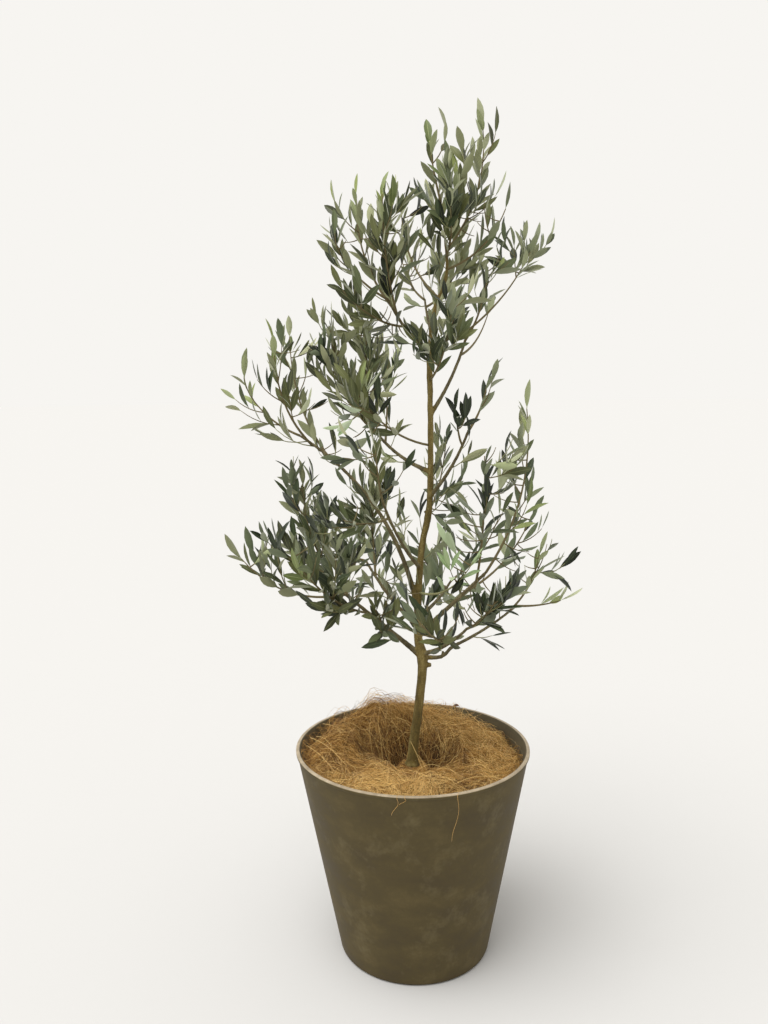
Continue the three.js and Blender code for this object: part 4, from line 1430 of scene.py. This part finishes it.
@dataclass
class Wood:
    """The trunk and boughs as one grown skin with the bark's relief."""

    skeleton: Skeleton
    voxel_mm: float = 1.25
    roundness: int = 5
    smoothing: float = 0.5
    smoothing_rounds: int = 3
    fine_steps: int = 110
    bough_steps: int = 22
    collar_share: float = 0.5
    collar_mm: float = 16
    # The bark's relief: how high each layer stands and how wide its grain is
    furrow_mm: float = 0.75
    furrow_size: tuple[float, float, float] = (5, 5, 22)
    furrow_grain: tuple[float, float, int] = (0.9, 2.1, 3)
    furrow_least: float = 0.35
    swelling_mm: float = 0.9
    swelling_size: float = 21
    grain_mm: float = 0.22
    grain_size: float = 1.9
    trunk_reach: float = 14
    # How far off the trunk's side its bark ends, and how far and in what size of patch that varies
    bark_edge: float = 5
    edge_spread: float = 5
    edge_size: float = 4
    # Knots: height, bearing and radius of each
    knots: tuple[tuple[float, float, float], ...] = (
        (330, 205, 2.0), (352, 320, 1.8), (388, 175, 2.3), (404, 350, 2.1), (421, 215, 1.9),
        (520, 300, 2.0), (548, 30, 1.8), (583, 190, 1.9), (662, 330, 1.8), (688, 200, 1.7),
        (742, 285, 1.6), (812, 20, 1.7), (872, 240, 1.6), (1010, 330, 1.4),
    )
    knot_rise: float = 38
    knot_standout: float = 1.7
    knot_taper: float = 0.75
    # The cut stub: height, bearing, rise and length, then its radii from foot to tip
    stub: tuple[float, float, float, float] = (444, 338, 8, 15)
    stub_radii: tuple[float, ...] = (5.4, 4.8, 4.2, 3.8, 3.2)
    # The knee: its bough, its dip, the shares of the length where it turns and where it ends, its knob
    knee_on: str = "bough_lowest_right"
    knee_mm: float = 9
    knee_from: float = 0.2
    knee_to: float = 0.3
    knob_mm: float = 8
    knob_radii: Span = (2.6, 2.0)

    def __post_init__(self) -> None:
        """Lay out the trunk's fine axis by height."""
        self.trunk = self.skeleton.trunk_limb(self.fine_steps)
        across, depth, self.heights = np.array(self.trunk.line).T
        self.by_height = (across, depth, np.array(self.trunk.radii))

    def build(self) -> None:
        """Join the limbs, raise the bark and stand the piece for the trunk and boughs."""
        mesh = self.joined(self.limbs())
        self.raise_bark(mesh)
        self.part_bark(mesh)
        nodes = [TRUNK, *(bough.name for bough in BOUGHS)]
        add_piece("trunk_and_boughs", mesh, [BARK, SHADED_BOUGH_BARK], nodes)

    def from_trunk(self, place: Vector) -> Span:
        """Return how far a place is from the trunk's axis at its height, and the trunk's radius there."""
        across, depth, radius = (float(np.interp(place.z, self.heights, row)) for row in self.by_height)
        return math.hypot(place.x - across, place.y - depth), radius

    def limbs(self) -> list[Limb]:
        """Return the trunk, its knots and stub, and the boughs, each bough with a collar at its foot.

        Returns:
            Their lines and radii.
        """
        limbs = [self.trunk]
        for bough in BOUGHS:
            line = self.skeleton.bough_line(bough, self.bough_steps)
            radii = []
            for step in range(len(line)):
                share = step / self.bough_steps
                collar = self.collar_share * math.exp(-share * bough.length / self.collar_mm)
                radii.append(bough.radius(share) * (1 + collar))
            if bough.name == self.knee_on:
                line = self.knee(line)
                foot = place_along(line, self.knee_from * bough.length)[0]
                limbs.append(Limb([foot, foot + UP * self.knob_mm], list(self.knob_radii)))
            limbs.append(Limb(line, radii))
        for height, bearing, radius in self.knots:
            foot = self.skeleton.trunk_point(height)
            reach = self.from_trunk(foot)[1] + self.knot_standout
            tip = foot + aim(bearing, self.knot_rise) * reach
            limbs.append(Limb([foot, tip], [radius, radius * self.knot_taper]))
        height, bearing, rise, length = self.stub
        foot = self.skeleton.trunk_point(height)
        line = bowed_line(foot, aim(bearing, rise), length, 0, len(self.stub_radii) - 1)
        return [*limbs, Limb(line, list(self.stub_radii))]

    def knee(self, line: Line) -> Line:
        """Return a bough's line with a dip near the trunk that ends in a sharp turn up.

        Args:
            line: The bough's line.

        Returns:
            The bent line.
        """
        bent = []
        for step, point in enumerate(line):
            share = step / (len(line) - 1)
            dip = eased(share, 0, self.knee_from) * (1 - eased(share, self.knee_from, self.knee_to))
            bent.append(point - UP * (dip * self.knee_mm))
        return bent

    def joined(self, limbs: list[Limb]) -> bpy.types.Mesh:
        """Return the limbs' skins grown into one by a fine remesh.

        Args:
            limbs: The limbs.

        Returns:
            The mesh, in metres.
        """
        holder = bpy.data.objects.new("limbs_to_join", tubes("trunk_and_boughs", limbs, self.roundness))
        remesh = holder.modifiers.new("grow_together", "REMESH")
        remesh.mode = "VOXEL"
        remesh.voxel_size = self.voxel_mm * MM
        remesh.use_smooth_shade = True
        smooth = holder.modifiers.new("ease_joints", "SMOOTH")
        smooth.factor = self.smoothing
        smooth.iterations = self.smoothing_rounds
        mesh = mesh_from(holder)
        mesh.name = "trunk_and_boughs"
        return mesh

    def raise_bark(self, mesh: bpy.types.Mesh) -> None:
        """Move each corner out or in by upright furrows and a fine grain, deeper on thicker wood.

        Args:
            mesh: The joined skin.
        """
        moved = []
        for vertex in mesh.vertices:
            place = vertex.co / MM
            on_trunk = max(0.0, 1 - self.from_trunk(place)[0] / self.trunk_reach)
            squeezed = Vector([part / size for part, size in zip(place, self.furrow_size)])
            furrow = noise.fractal(squeezed, *self.furrow_grain)
            swelling = noise.noise(place / self.swelling_size) * self.swelling_mm * on_trunk
            grain = noise.noise(place / self.grain_size) * self.grain_mm
            rise = furrow * self.furrow_mm * (self.furrow_least + on_trunk) + swelling + grain
            corner = vertex.co + vertex.normal * (rise * MM)
            corner.z = max(corner.z, TRUNK_STATIONS[0][0] * MM)
            moved.append(corner)
        for vertex, corner in zip(mesh.vertices, moved):
            vertex.co = corner
        mesh.update()
        mesh.shade_smooth()

    def part_bark(self, mesh: bpy.types.Mesh) -> None:
        """Give the faces off the trunk the boughs' darker bark, painted shade, in patches where the two barks
        meet.

        Args:
            mesh: The joined skin.
        """
        for face in mesh.polygons:
            place = face.center / MM
            away, radius = self.from_trunk(place)
            edge = self.bark_edge + self.edge_spread * noise.noise(place / self.edge_size)
            # Painted shade: the faces off the trunk take the boughs' darker bark
            face.material_index = int(away > radius + edge)


@dataclass
class LeafTemplate:
    """A leaf of a few faces, one unit long and wide: a stalk and a blade, with a rib above and a keel below.

    Its places are the share of the width to either side, of the length along it, and of the width above.
    """

    # Share of the length, and share of the full width there
    outline: tuple[Span, ...] = (
        (0.0, 0.1), (0.08, 0.12), (0.24, 0.62), (0.45, 0.98), (0.66, 0.98), (0.86, 0.56), (1.0, 0.0),
    )
    rib_share: float = 0.045
    rib_rise: float = 0.012
    thickness: float = 0.05
    least_body: float = 0.12
    body_gain: float = 2.2
    corners: int = 5
    sharp_from: float = 70

    def __post_init__(self) -> None:
        """Build the template and keep its corners, its faces and their material slots."""
        shape = bmesh.new()
        bmesh.ops.create_cone(
            shape, cap_ends=True, cap_tris=False, segments=self.corners, radius1=1, radius2=1, depth=1
        )
        upright = [edge for edge in shape.edges if abs(edge.verts[0].co.z - edge.verts[1].co.z) > 0.5]
        steps = len(self.outline) - 1
        bmesh.ops.subdivide_edges(shape, edges=upright, cuts=steps - 1, use_grid_fill=True)
        turn = ROUND / self.corners
        first = min(self.angle(vertex.co) for vertex in shape.verts) % turn
        sides = [-1, -self.rib_share, self.rib_share, 1, 0]
        levels = [0, self.rib_rise, self.rib_rise, 0, -self.thickness]
        slots = [LeafSlot.UPPER, LeafSlot.RIB, LeafSlot.UPPER, LeafSlot.UNDER, LeafSlot.UNDER]
        places = []
        for vertex in shape.verts:
            station = round((vertex.co.z + 0.5) * steps)
            corner = round((self.angle(vertex.co) - first) / turn) % self.corners
            along, width = self.outline[station]
            body = max(width, self.least_body) if station < steps else 0
            places.append((sides[corner] * width / 2, along, levels[corner] * min(1, body * self.body_gain)))
        self.places = np.array(places)
        self.faces = [[vertex.index for vertex in face.verts] for face in shape.faces]
        self.slots = []
        for face in shape.faces:
            centre = face.calc_center_median()
            side = round((self.angle(centre) - first - turn / 2) / turn) % self.corners
            at_end = math.hypot(centre.x, centre.y) < 0.5
            on_stalk = centre.z + 0.5 < 1 / steps
            self.slots.append(LeafSlot.RIB if at_end or on_stalk else slots[side])
        if self.faces_inward():
            self.faces = [face[::-1] for face in self.faces]
        shape.free()

    @staticmethod
    def angle(point: Vector) -> float:
        """Return a point's angle round the upright axis, from 0 to a full turn."""
        return math.atan2(point.y, point.x) % ROUND

    def faces_inward(self) -> bool:
        """Say whether the shaped faces enclose a negative volume.

        Returns:
            True if their order has to be turned.
        """
        volume = 0.0
        for face in self.faces:
            first, *others = (Vector(self.places[corner]) for corner in face)
            volume += sum(first.dot(middle.cross(last)) for middle, last in zip(others, others[1:]))
        return volume < 0


@dataclass
class Leaf:
    """Where one leaf grows, the way it points and faces, its size in millimetres and its bend and fold."""

    root: Vector
    direction: Vector
    face: Vector
    length: float
    width: float
    bend: float
    fold: float
    twist: float
    shade: int


@dataclass
class Spray:
    """What the leaves of one twig share: their mass, its random numbers, their tone and their scale."""

    mass: Mass
    random: SeededNumbers
    tone: Tone
    scale: float


@dataclass(frozen=True)
class TwigKind:
    """A twig's radii at its foot and tip, its share without leaves, their scale, and its line's steps."""

    foot: float
    tip: float
    bare: float
    scale: float
    steps: int

    def limb(self, line: Line) -> Limb:
        """Return a line as a limb that tapers evenly from one radius to the other."""
        last = len(line) - 1
        return Limb(line, [self.foot + (self.tip - self.foot) * step / last for step in range(last + 1)])


@dataclass
class Crown:
    """Every twig and leaf of the masses, each grown inside its mass's own space."""

    skeleton: Skeleton
    space: OwnSpace
    stem: TwigKind = TwigKind(2.2, 0.8, 0, 1.0, 12)
    side: TwigKind = TwigKind(1.15, 0.55, 0.16, 0.97, 6)
    fine: TwigKind = TwigKind(0.85, 0.5, 0.2, 0.92, 4)
    limb_side: TwigKind = TwigKind(1.0, 0.5, 0.3, 0.95, 4)
    twig_lift: float = 0.45
    twig_sag: float = 0.08
    golden_angle: float = 137.5
    # The solids' own side twigs: the share of the stem that they stand on, and their sizes
    side_span: Span = (0.2, 0.8)
    side_every: float = 60
    side_length: float = 78
    side_shortening: float = 0.4
    side_spread: float = 0.15
    side_opening: float = 48
    kept_below: float = 0.3
    # The finer twigs that the solids leave out, fewer and shorter towards the carrier's tip
    fine_span: Span = (0.1, 0.92)
    fine_every: float = 33
    fine_round_up: float = 0.4
    fine_length: float = 46
    fine_shortening: Span = (1.15, 0.45)
    fine_spread: float = 0.35
    fine_thinning: Span = (1.35, 0.85)
    opening_off_stem: float = 42
    opening_off_side: float = 38
    # Leafy twigs straight on the limbs: from and to which share of the limb, how far apart, how long
    limb_rows: tuple[tuple[str, float, float, float, float], ...] = (
        ("bough_low_left", 0.3, 0.62, 30, 36), ("bough_low_back_left", 0.2, 1, 14, 50),
        ("bough_left_middle", 0.3, 0.6, 24, 44), ("bough_left_middle", 0.6, 1, 14, 60),
        ("bough_front_left", 0.3, 1, 30, 42), ("bough_left_upper", 0.3, 1, 20, 48),
        ("bough_high_left", 0.1, 1, 10, 52), ("bough_high_back", 0.1, 1, 16, 44),
        ("bough_mid_right", 0.5, 1, 40, 40), ("bough_low_right", 0.45, 1, 38, 40),
        ("bough_lowest_right", 0.35, 0.85, 34, 38), ("bough_low_front", 0.25, 1, 20, 52),
        ("bough_low_back", 0.25, 1, 26, 44), (TRUNK, 0.24, 0.5, 18, 44), (TRUNK, 0.68, 0.98, 10, 50),
    )
    limb_seed: int = 900
    limb_opening: float = 52
    limb_opening_spread: float = 12
    limb_reach: Span = (0.7, 1.3)
    limb_gap: Span = (0.8, 1.2)
    # The leaves: opposite pairs, each a quarter turn on from the last, smaller towards the tip
    leaf_seed: int = 500
    leaf_length: float = 49
    leaf_width: float = 11.8
    leaf_spread: float = 0.2
    leaf_every: float = 17
    leaf_gap: Span = (0.85, 1.2)
    gap_by_age: Span = (0.75, 0.25)
    first_leaf: float = 5
    last_leaf: float = 3
    leaf_openings: Span = (34, 19)
    openings_along: Span = (1.12, 0.42)
    opening_spread: Span = (-9, 12)
    leaf_lifts: Span = (0.16, 0.62)
    lift_spread: Span = (0.3, 1.6)
    slimness: Span = (0.78, 1.18)
    width_by_height: Span = (0.95, 0.19)
    bends: Span = (-0.1, 0.55)
    folds: Span = (0.12, 0.42)
    twists: Span = (-0.5, 0.5)
    pair_turn: float = 90
    pair_spread: float = 18
    kept_share: float = 0.5
    tip_shrinking: float = 0.34
    tip_leaf: float = 0.88
    tip_openings: Span = (9, 4)
    broad_leaved: tuple[str, ...] = ("low_front_right",)
    broad_scale: float = 1.2
    # The crown's foot and height, and the chance of each tone at its foot and how much more at its top, so
    # that the darker tones, painted shade, grow commoner lower down
    crown_foot: float = 430
    crown_height: float = 900
    young_chance: float = 0.03
    khaki_chance: Span = (0.13, 0.68)
    grey_chance: Span = (0.45, 0.55)
    # Painted shade on the lower boughs on the right, whose leaves take the darkest tone: how much, from and
    # to which across and height
    painted_shade_share: float = 0.75
    painted_shade_across: Span = (0, 80)
    painted_shade_height: Span = (600, 780)
    # Young leaves at the tips of these masses
    young_share: float = 0.74
    young_reach: float = 45
    young_tips: tuple[str, ...] = (
        "front_young", "leader_tip", "top_tall", "right_tall", "top_front", "high_left_tall",
        "high_left_inner", "left_outer", "left_upright_outer", "left_upright_inner", "left_upper_back",
    )
    green_stems: tuple[str, ...] = ("front_young",)
    # Bunches of pale new leaves: across, depth and height of the middle, and how far they reach
    new_bunches: tuple[tuple[float, float, float, float], ...] = (
        (78, -145, 640, 34), (70, -45, 1152, 30), (-118, -102, 860, 30),
    )
    twigs: list[Limb] = field(default_factory=list)
    shoots: list[Limb] = field(default_factory=list)
    leaves: dict[Tone, list[Leaf]] = field(default_factory=lambda: {tone: [] for tone in Tone})

    def build(self) -> None:
        """Grow every mass, then join its twigs and its leaves, each kind apart."""
        for order, mass in enumerate(MASSES):
            self.grow_mass(mass, order + 1)
        for order, row in enumerate(self.limb_rows):
            self.grow_on_limb(*row, SeededNumbers(order + self.limb_seed))
        nodes = [mass.name for mass in MASSES]
        add_piece("twigs", tubes("twigs", self.twigs, 1), [TWIG_BARK], nodes)
        add_piece("young_shoots", tubes("young_shoots", self.shoots, 0), [SHOOT_SKIN], nodes)
        template = LeafTemplate()
        for tone, leaves in self.leaves.items():
            name = f"leaves_{tone.name.lower()}"
            add_piece(name, leaf_mesh(name, template, leaves), tone.value.skins(), nodes)
        log.info("leaves: %d", sum(len(leaves) for leaves in self.leaves.values()))

    def grow_mass(self, mass: Mass, seed: int) -> None:
        """Grow one mass: its stem, the solids' side twigs, finer twigs between them, and leaves on all.

        Args:
            mass: The mass.
            seed: The seed of its side twigs.
        """
        random = SeededNumbers(seed + self.leaf_seed)
        stem = self.skeleton.stem_line(mass, self.stem.steps)
        stems = self.shoots if self.among(mass, self.green_stems) else self.twigs
        self.add_twig(stems, mass, stem, replace(self.stem, bare=mass.bare), random)
        bare_room = mass.bare * line_length(stem)
        side_twigs = [
            twig for twig in self.side_twigs(mass, SeededNumbers(seed))
            if mass.bare < self.kept_below or (twig[0] - stem[0]).length > bare_room
        ]
        side_twigs += self.single_sprays(mass)
        for twig in side_twigs:
            self.add_twig(self.twigs, mass, twig, self.side, random)
        first, last = self.fine_span
        carriers = [(stem, self.opening_off_stem, max(first, mass.bare))]
        carriers += [(twig, self.opening_off_side, first) for twig in side_twigs]
        for carrier, opening, start in carriers:
            for twig in self.fine_twigs(mass, carrier, opening, (start, last), random):
                self.add_twig(self.shoots, mass, twig, self.fine, random)

    def grow_on_limb(
        self, name: str, first: float, last: float, every: float, twig_length: float, random: SeededNumbers
    ) -> None:
        """Grow leafy twigs straight on a limb, each in the space of the mass whose stem is nearest.

        Args:
            name: The limb's name.
            first: The share of its length where they start.
            last: The share where they end.
            every: The distance between them in millimetres.
            twig_length: Their middling length in millimetres.
            random: The numbers for this limb.
        """
        line = self.skeleton.limbs[name].line
        length = line_length(line)
        turn = random.between(0, FULL_TURN)
        away = first * length
        spread = self.limb_opening_spread
        while away < last * length:
            turn += self.golden_angle
            reach = twig_length * random.between(*self.limb_reach)
            opening = self.limb_opening + random.between(-spread, spread)
            twig = self.twig_off(line, away, (turn, opening), reach, self.limb_side.steps)
            mass = self.space.nearest(twig[-1])
            if self.fits(mass, twig):
                self.add_twig(self.shoots, mass, twig, self.limb_side, random)
            away += every * random.between(*self.limb_gap)

    @staticmethod
    def among(mass: Mass, names: tuple[str, ...]) -> bool:
        """Say whether a mass is one of those named, without the first part of their names."""
        return mass.name.removeprefix("foliage_") in names

    def fits(self, mass: Mass, line: Line) -> bool:
        """Say whether the middle and the tip of a twig are in its mass's own space."""
        return self.space.holds(mass.name, [line[len(line) // 2], line[-1]])

    def add_twig(
        self, kin: list[Limb], mass: Mass, line: Line, kind: TwigKind, random: SeededNumbers
    ) -> None:
        """Add a twig with its leaves, all of one tone.

        Args:
            kin: The twigs or the shoots, to which it is added.
            mass: The mass that it belongs to.
            line: Its line.
            kind: Its thickness, bare share and scale of leaf.
            random: The numbers of its mass or limb.
        """
        kin.append(kind.limb(line))
        self.leaf_line(Spray(mass, random, self.tone_of(line[-1], random), kind.scale), line, kind.bare)

    def twig_off(self, line: Line, away: float, angles: Span, reach: float, steps: int) -> Line:
        """Return the line of a twig that leaves another line.

        Args:
            line: The line that it leaves.
            away: How far along that line.
            angles: Where round it, and at what opening, in degrees.
            reach: The twig's length.
            steps: The number of its steps.

        Returns:
            Its points.
        """
        point, along = place_along(line, away)
        return bowed_line(point, leaning(along, *angles, self.twig_lift), reach, self.twig_sag, steps)

    def side_twigs(self, mass: Mass, random: SeededNumbers) -> list[Line]:
        """Return the same side twigs as the solids have, by the same rule and seed.

        Args:
            mass: The mass.
            random: The numbers by the source's seed.

        Returns:
            The lines of those that stay in its space.
        """
        stem = self.skeleton.stems[mass.name]
        length = line_length(stem)
        count = max(1, math.floor(length / self.side_every + 0.5))
        phase = random.between(0, FULL_TURN)
        first, last = self.side_span
        twigs = []
        for number in range(count):
            share = first + (last - first) * (number + 0.5) / count
            reach = self.side_length * (1 - self.side_shortening * share)
            reach *= random.between(1 - self.side_spread, 1 + self.side_spread)
            angles = (phase + number * self.golden_angle, self.side_opening)
            twigs.append(self.twig_off(stem, share * length, angles, reach, self.side.steps))
        return [twig for twig in twigs if self.fits(mass, twig)]

    def single_sprays(self, mass: Mass) -> list[Line]:
        """Return the lines of the mass's single sprays that stay in its space.

        Args:
            mass: The mass.

        Returns:
            The lines.
        """
        stem = self.skeleton.stems[mass.name]
        twigs = []
        for at, bearing, rise, length in mass.sprays:
            point = place_along(stem, at * line_length(stem))[0]
            twigs.append(bowed_line(point, aim(bearing, rise), length, self.twig_sag, self.side.steps))
        return [twig for twig in twigs if self.fits(mass, twig)]

    def fine_twigs(
        self, mass: Mass, carrier: Line, opening: float, span: Span, random: SeededNumbers
    ) -> list[Line]:
        """Return finer twigs set round a stem or side twig, shorter towards its tip.

        Args:
            mass: The mass that they belong to.
            carrier: The line that they leave.
            opening: The angle at which they leave it, in degrees.
            span: From and to which share of the carrier they stand.
            random: The mass's own numbers.

        Returns:
            The lines of those that stay in the mass's space.
        """
        length = line_length(carrier)
        phase = random.between(0, FULL_TURN)
        first, last = span
        fullness = max(1, mass.fullness)
        count = int(length * (last - first) / self.fine_every * fullness + self.fine_round_up)
        twigs = []
        for number in range(count):
            share = first + (last - first) * (number + 0.5) / count
            if random.between() > mass.fullness * (self.fine_thinning[0] - self.fine_thinning[1] * share):
                continue
            reach = self.fine_length * (self.fine_shortening[0] - self.fine_shortening[1] * share)
            reach *= random.between(1 - self.fine_spread, 1 + self.fine_spread)
            angles = (phase + number * self.golden_angle, opening)
            twigs.append(self.twig_off(carrier, share * length, angles, reach, self.fine.steps))
        return [twig for twig in twigs if self.fits(mass, twig)]

    def height_share(self, point: Vector) -> float:
        """Return how high in the crown a point is, from 0 to 1."""
        return min(max((point.z - self.crown_foot) / self.crown_height, 0), 1)

    def tone_of(self, tip: Vector, random: SeededNumbers) -> Tone:
        """Choose a spray's tone: khaki and grey-green high up, and darker green as painted shade lower down
        and on the lower right.

        Args:
            tip: The spray's tip.
            random: The numbers of its mass or limb.

        Returns:
            The tone.
        """
        draw = random.between()
        for across, depth, level, reach in self.new_bunches:
            if (tip - Vector((across, depth, level))).length < reach:
                return Tone.NEW
        # Painted shade: low on the right, the tone is chosen as if lower in the crown
        dark = eased(tip.x, *self.painted_shade_across) * (1 - eased(tip.z, *self.painted_shade_height))
        height = self.height_share(tip) - self.painted_shade_share * dark
        khaki, grey = (low + more * height for low, more in (self.khaki_chance, self.grey_chance))
        if draw < self.young_chance:
            return Tone.YOUNG
        if draw < khaki:
            return Tone.KHAKI
        return Tone.GREY_GREEN if draw < grey else Tone.DARK_GREEN

    def leaf_line(self, spray: Spray, line: Line, bare: float) -> None:
        """Set leaves along a twig: opposite pairs, smaller towards the tip, then one at the tip.

        Args:
            spray: What its leaves share.
            line: The twig's line.
            bare: The share of it that bears no leaves.
        """
        mass, random = spray.mass, spray.random
        length = line_length(line)
        turn = random.between(0, FULL_TURN)
        away = bare * length + random.between(0, self.first_leaf)
        near_tip = (line[-1] - self.skeleton.stems[mass.name][-1]).length < self.young_reach
        young_from = self.young_share * length if near_tip and self.among(mass, self.young_tips) else length
        while away < length - self.last_leaf:
            place, share = place_along(line, away), away / length
            age = 1 - self.tip_shrinking * share**3
            widest = self.openings_along[0] - self.openings_along[1] * share
            if away > young_from and spray.tone is not Tone.NEW:
                spray.tone = Tone.YOUNG
            turn += self.pair_turn + random.between(-self.pair_spread, self.pair_spread)
            for side in (0, FULL_TURN / 2):
                if random.between() < self.kept_share + (1 - self.kept_share) * mass.fullness:
                    openings = [opening * widest for opening in self.leaf_openings]
                    self.try_leaf(spray, place, turn + side, openings, age)
            gap = self.gap_by_age[0] + self.gap_by_age[1] * age
            away += self.leaf_every * random.between(*self.leaf_gap) * gap
        self.try_leaf(spray, place_along(line, length - 1), turn, self.tip_openings, self.tip_leaf)

    def try_leaf(
        self, spray: Spray, place: tuple[Vector, Vector], turn: float, openings: list[float], scale: float
    ) -> None:
        """Add a leaf at the first opening at which it stays in its mass's space.

        Args:
            spray: What it shares with the other leaves of its twig.
            place: The point where it grows, and the twig's direction there.
            turn: Where round the twig, in degrees.
            openings: The angles from the twig that are tried, in degrees.
            scale: Its size against the spray's largest leaf.
        """
        point, along = place
        random, height = spray.random, self.height_share(point)
        size = spray.scale * scale * random.between(1 - self.leaf_spread, 1 + self.leaf_spread)
        slim = random.between(*self.slimness)
        if self.among(spray.mass, self.broad_leaved):
            size *= self.broad_scale
        low, high = self.leaf_lifts
        lift = (low + (high - low) * height) * random.between(*self.lift_spread)
        bend, fold, twist = (random.between(*span) for span in (self.bends, self.folds, self.twists))
        shade = int(random.between(0, LeafSlot.UPPER.value[1]))
        length = self.leaf_length * size
        width = self.leaf_width * size * slim * (self.width_by_height[0] + self.width_by_height[1] * height)
        for opening in openings:
            direction = leaning(along, turn, opening + random.between(*self.opening_spread), lift)
            tip, middle = point + direction * length, point + direction * (length / 2)
            if self.space.holds(spray.mass.name, [middle, tip]):
                face = (along - direction * along.dot(direction)).normalized()
                leaf = Leaf(point, direction, face, length, width, bend, fold, twist, shade)
                self.leaves[spray.tone].append(leaf)
                return


def leaf_mesh(name: str, template: LeafTemplate, leaves: list[Leaf]) -> bpy.types.Mesh:
    """Join many leaves into one mesh, each bent, folded and twisted from the template.

    Args:
        name: The mesh's name.
        template: The leaf that they all start from.
        leaves: Where and how each one grows.

    Returns:
        The mesh, in metres, with a material index for each face.
    """
    across, along, rise = template.places.T[:, None, :]
    root, direction, face = (
        np.array([getattr(leaf, key) for leaf in leaves])[:, None, :]
        for key in ("root", "direction", "face")
    )
    length, width, bend, fold, twist = (
        np.array([getattr(leaf, key) for leaf in leaves])[:, None]
        for key in ("length", "width", "bend", "fold", "twist")
    )
    out = across * width * np.cos(fold)
    lift = rise * width + np.abs(across) * width * np.sin(fold)
    turn = twist * along
    side = out * np.cos(turn) - lift * np.sin(turn)
    height = out * np.sin(turn) + lift * np.cos(turn) - length * bend * along**2 / 2
    forward = length * along * (1 - (bend * along) ** 2 / 6)
    flat = np.cross(direction, face)
    places = root + forward[..., None] * direction + side[..., None] * flat + height[..., None] * face
    count = len(template.places)
    starts = range(0, len(leaves) * count, count)
    faces = [[start + corner for corner in face] for start in starts for face in template.faces]
    mesh = bpy.data.meshes.new(name)
    mesh.from_pydata((places.reshape(-1, 3) * MM).tolist(), [], faces)
    spans = [slot.value for slot in template.slots]
    shades = [first + leaf.shade % count for leaf in leaves for first, count in spans]
    mesh.polygons.foreach_set("material_index", shades)
    shape = bmesh.new()
    shape.from_mesh(mesh)
    bmesh.ops.remove_doubles(shape, verts=shape.verts, dist=LEAF_WELD * MM)
    shape.to_mesh(mesh)
    shape.free()
    mesh.shade_smooth()
    mesh.set_sharp_from_angle(angle=math.radians(template.sharp_from))
    return mesh


@dataclass
class FallenLeaf:
    """One fallen leaf, dried and curled, on the back of the rim."""

    root: tuple[float, float, float] = (93, 163, 315.4)
    direction: tuple[float, float, float] = (-0.86, 0.3, 0.42)
    face: tuple[float, float, float] = (0.3, -0.4, 0.86)
    length: float = 20
    width: float = 8
    bend: float = 1.5
    fold: float = 0.7
    twist: float = 1.1

    def build(self) -> None:
        """Shape the leaf from the template, and give it the one dried finish all over."""
        along, up = Vector(self.direction).normalized(), Vector(self.face)
        face = (up - along * up.dot(along)).normalized()
        curl = (self.length, self.width, self.bend, self.fold, self.twist)
        mesh = leaf_mesh("dry_leaf", LeafTemplate(), [Leaf(Vector(self.root), along, face, *curl, shade=0)])
        mesh.polygons.foreach_set("material_index", [0] * len(mesh.polygons))
        add_piece("dry_leaf", mesh, [DRIED_LEAF], ["coir_mulch"])


def dress_soil() -> None:
    """Give the potting soil's own solid, which lies under the mulch, the look of moist soil."""
    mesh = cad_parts["soil"].data
    mesh.materials.clear()
    mesh.materials.append(POTTING_SOIL.material())
    log.info("soil: its own solid, %d faces", len(mesh.polygons))


def main() -> None:
    """Build every sub-assembly in order."""
    logging.basicConfig(level=logging.INFO, format="%(message)s")
    Studio().build()
    skeleton = Skeleton()
    skeleton.grow()
    Pot().build()
    dress_soil()
    CoirMulch().build()
    FallenLeaf().build()
    Wood(skeleton).build()
    Crown(skeleton, OwnSpace(skeleton)).build()


if __name__ == "__main__":
    main()
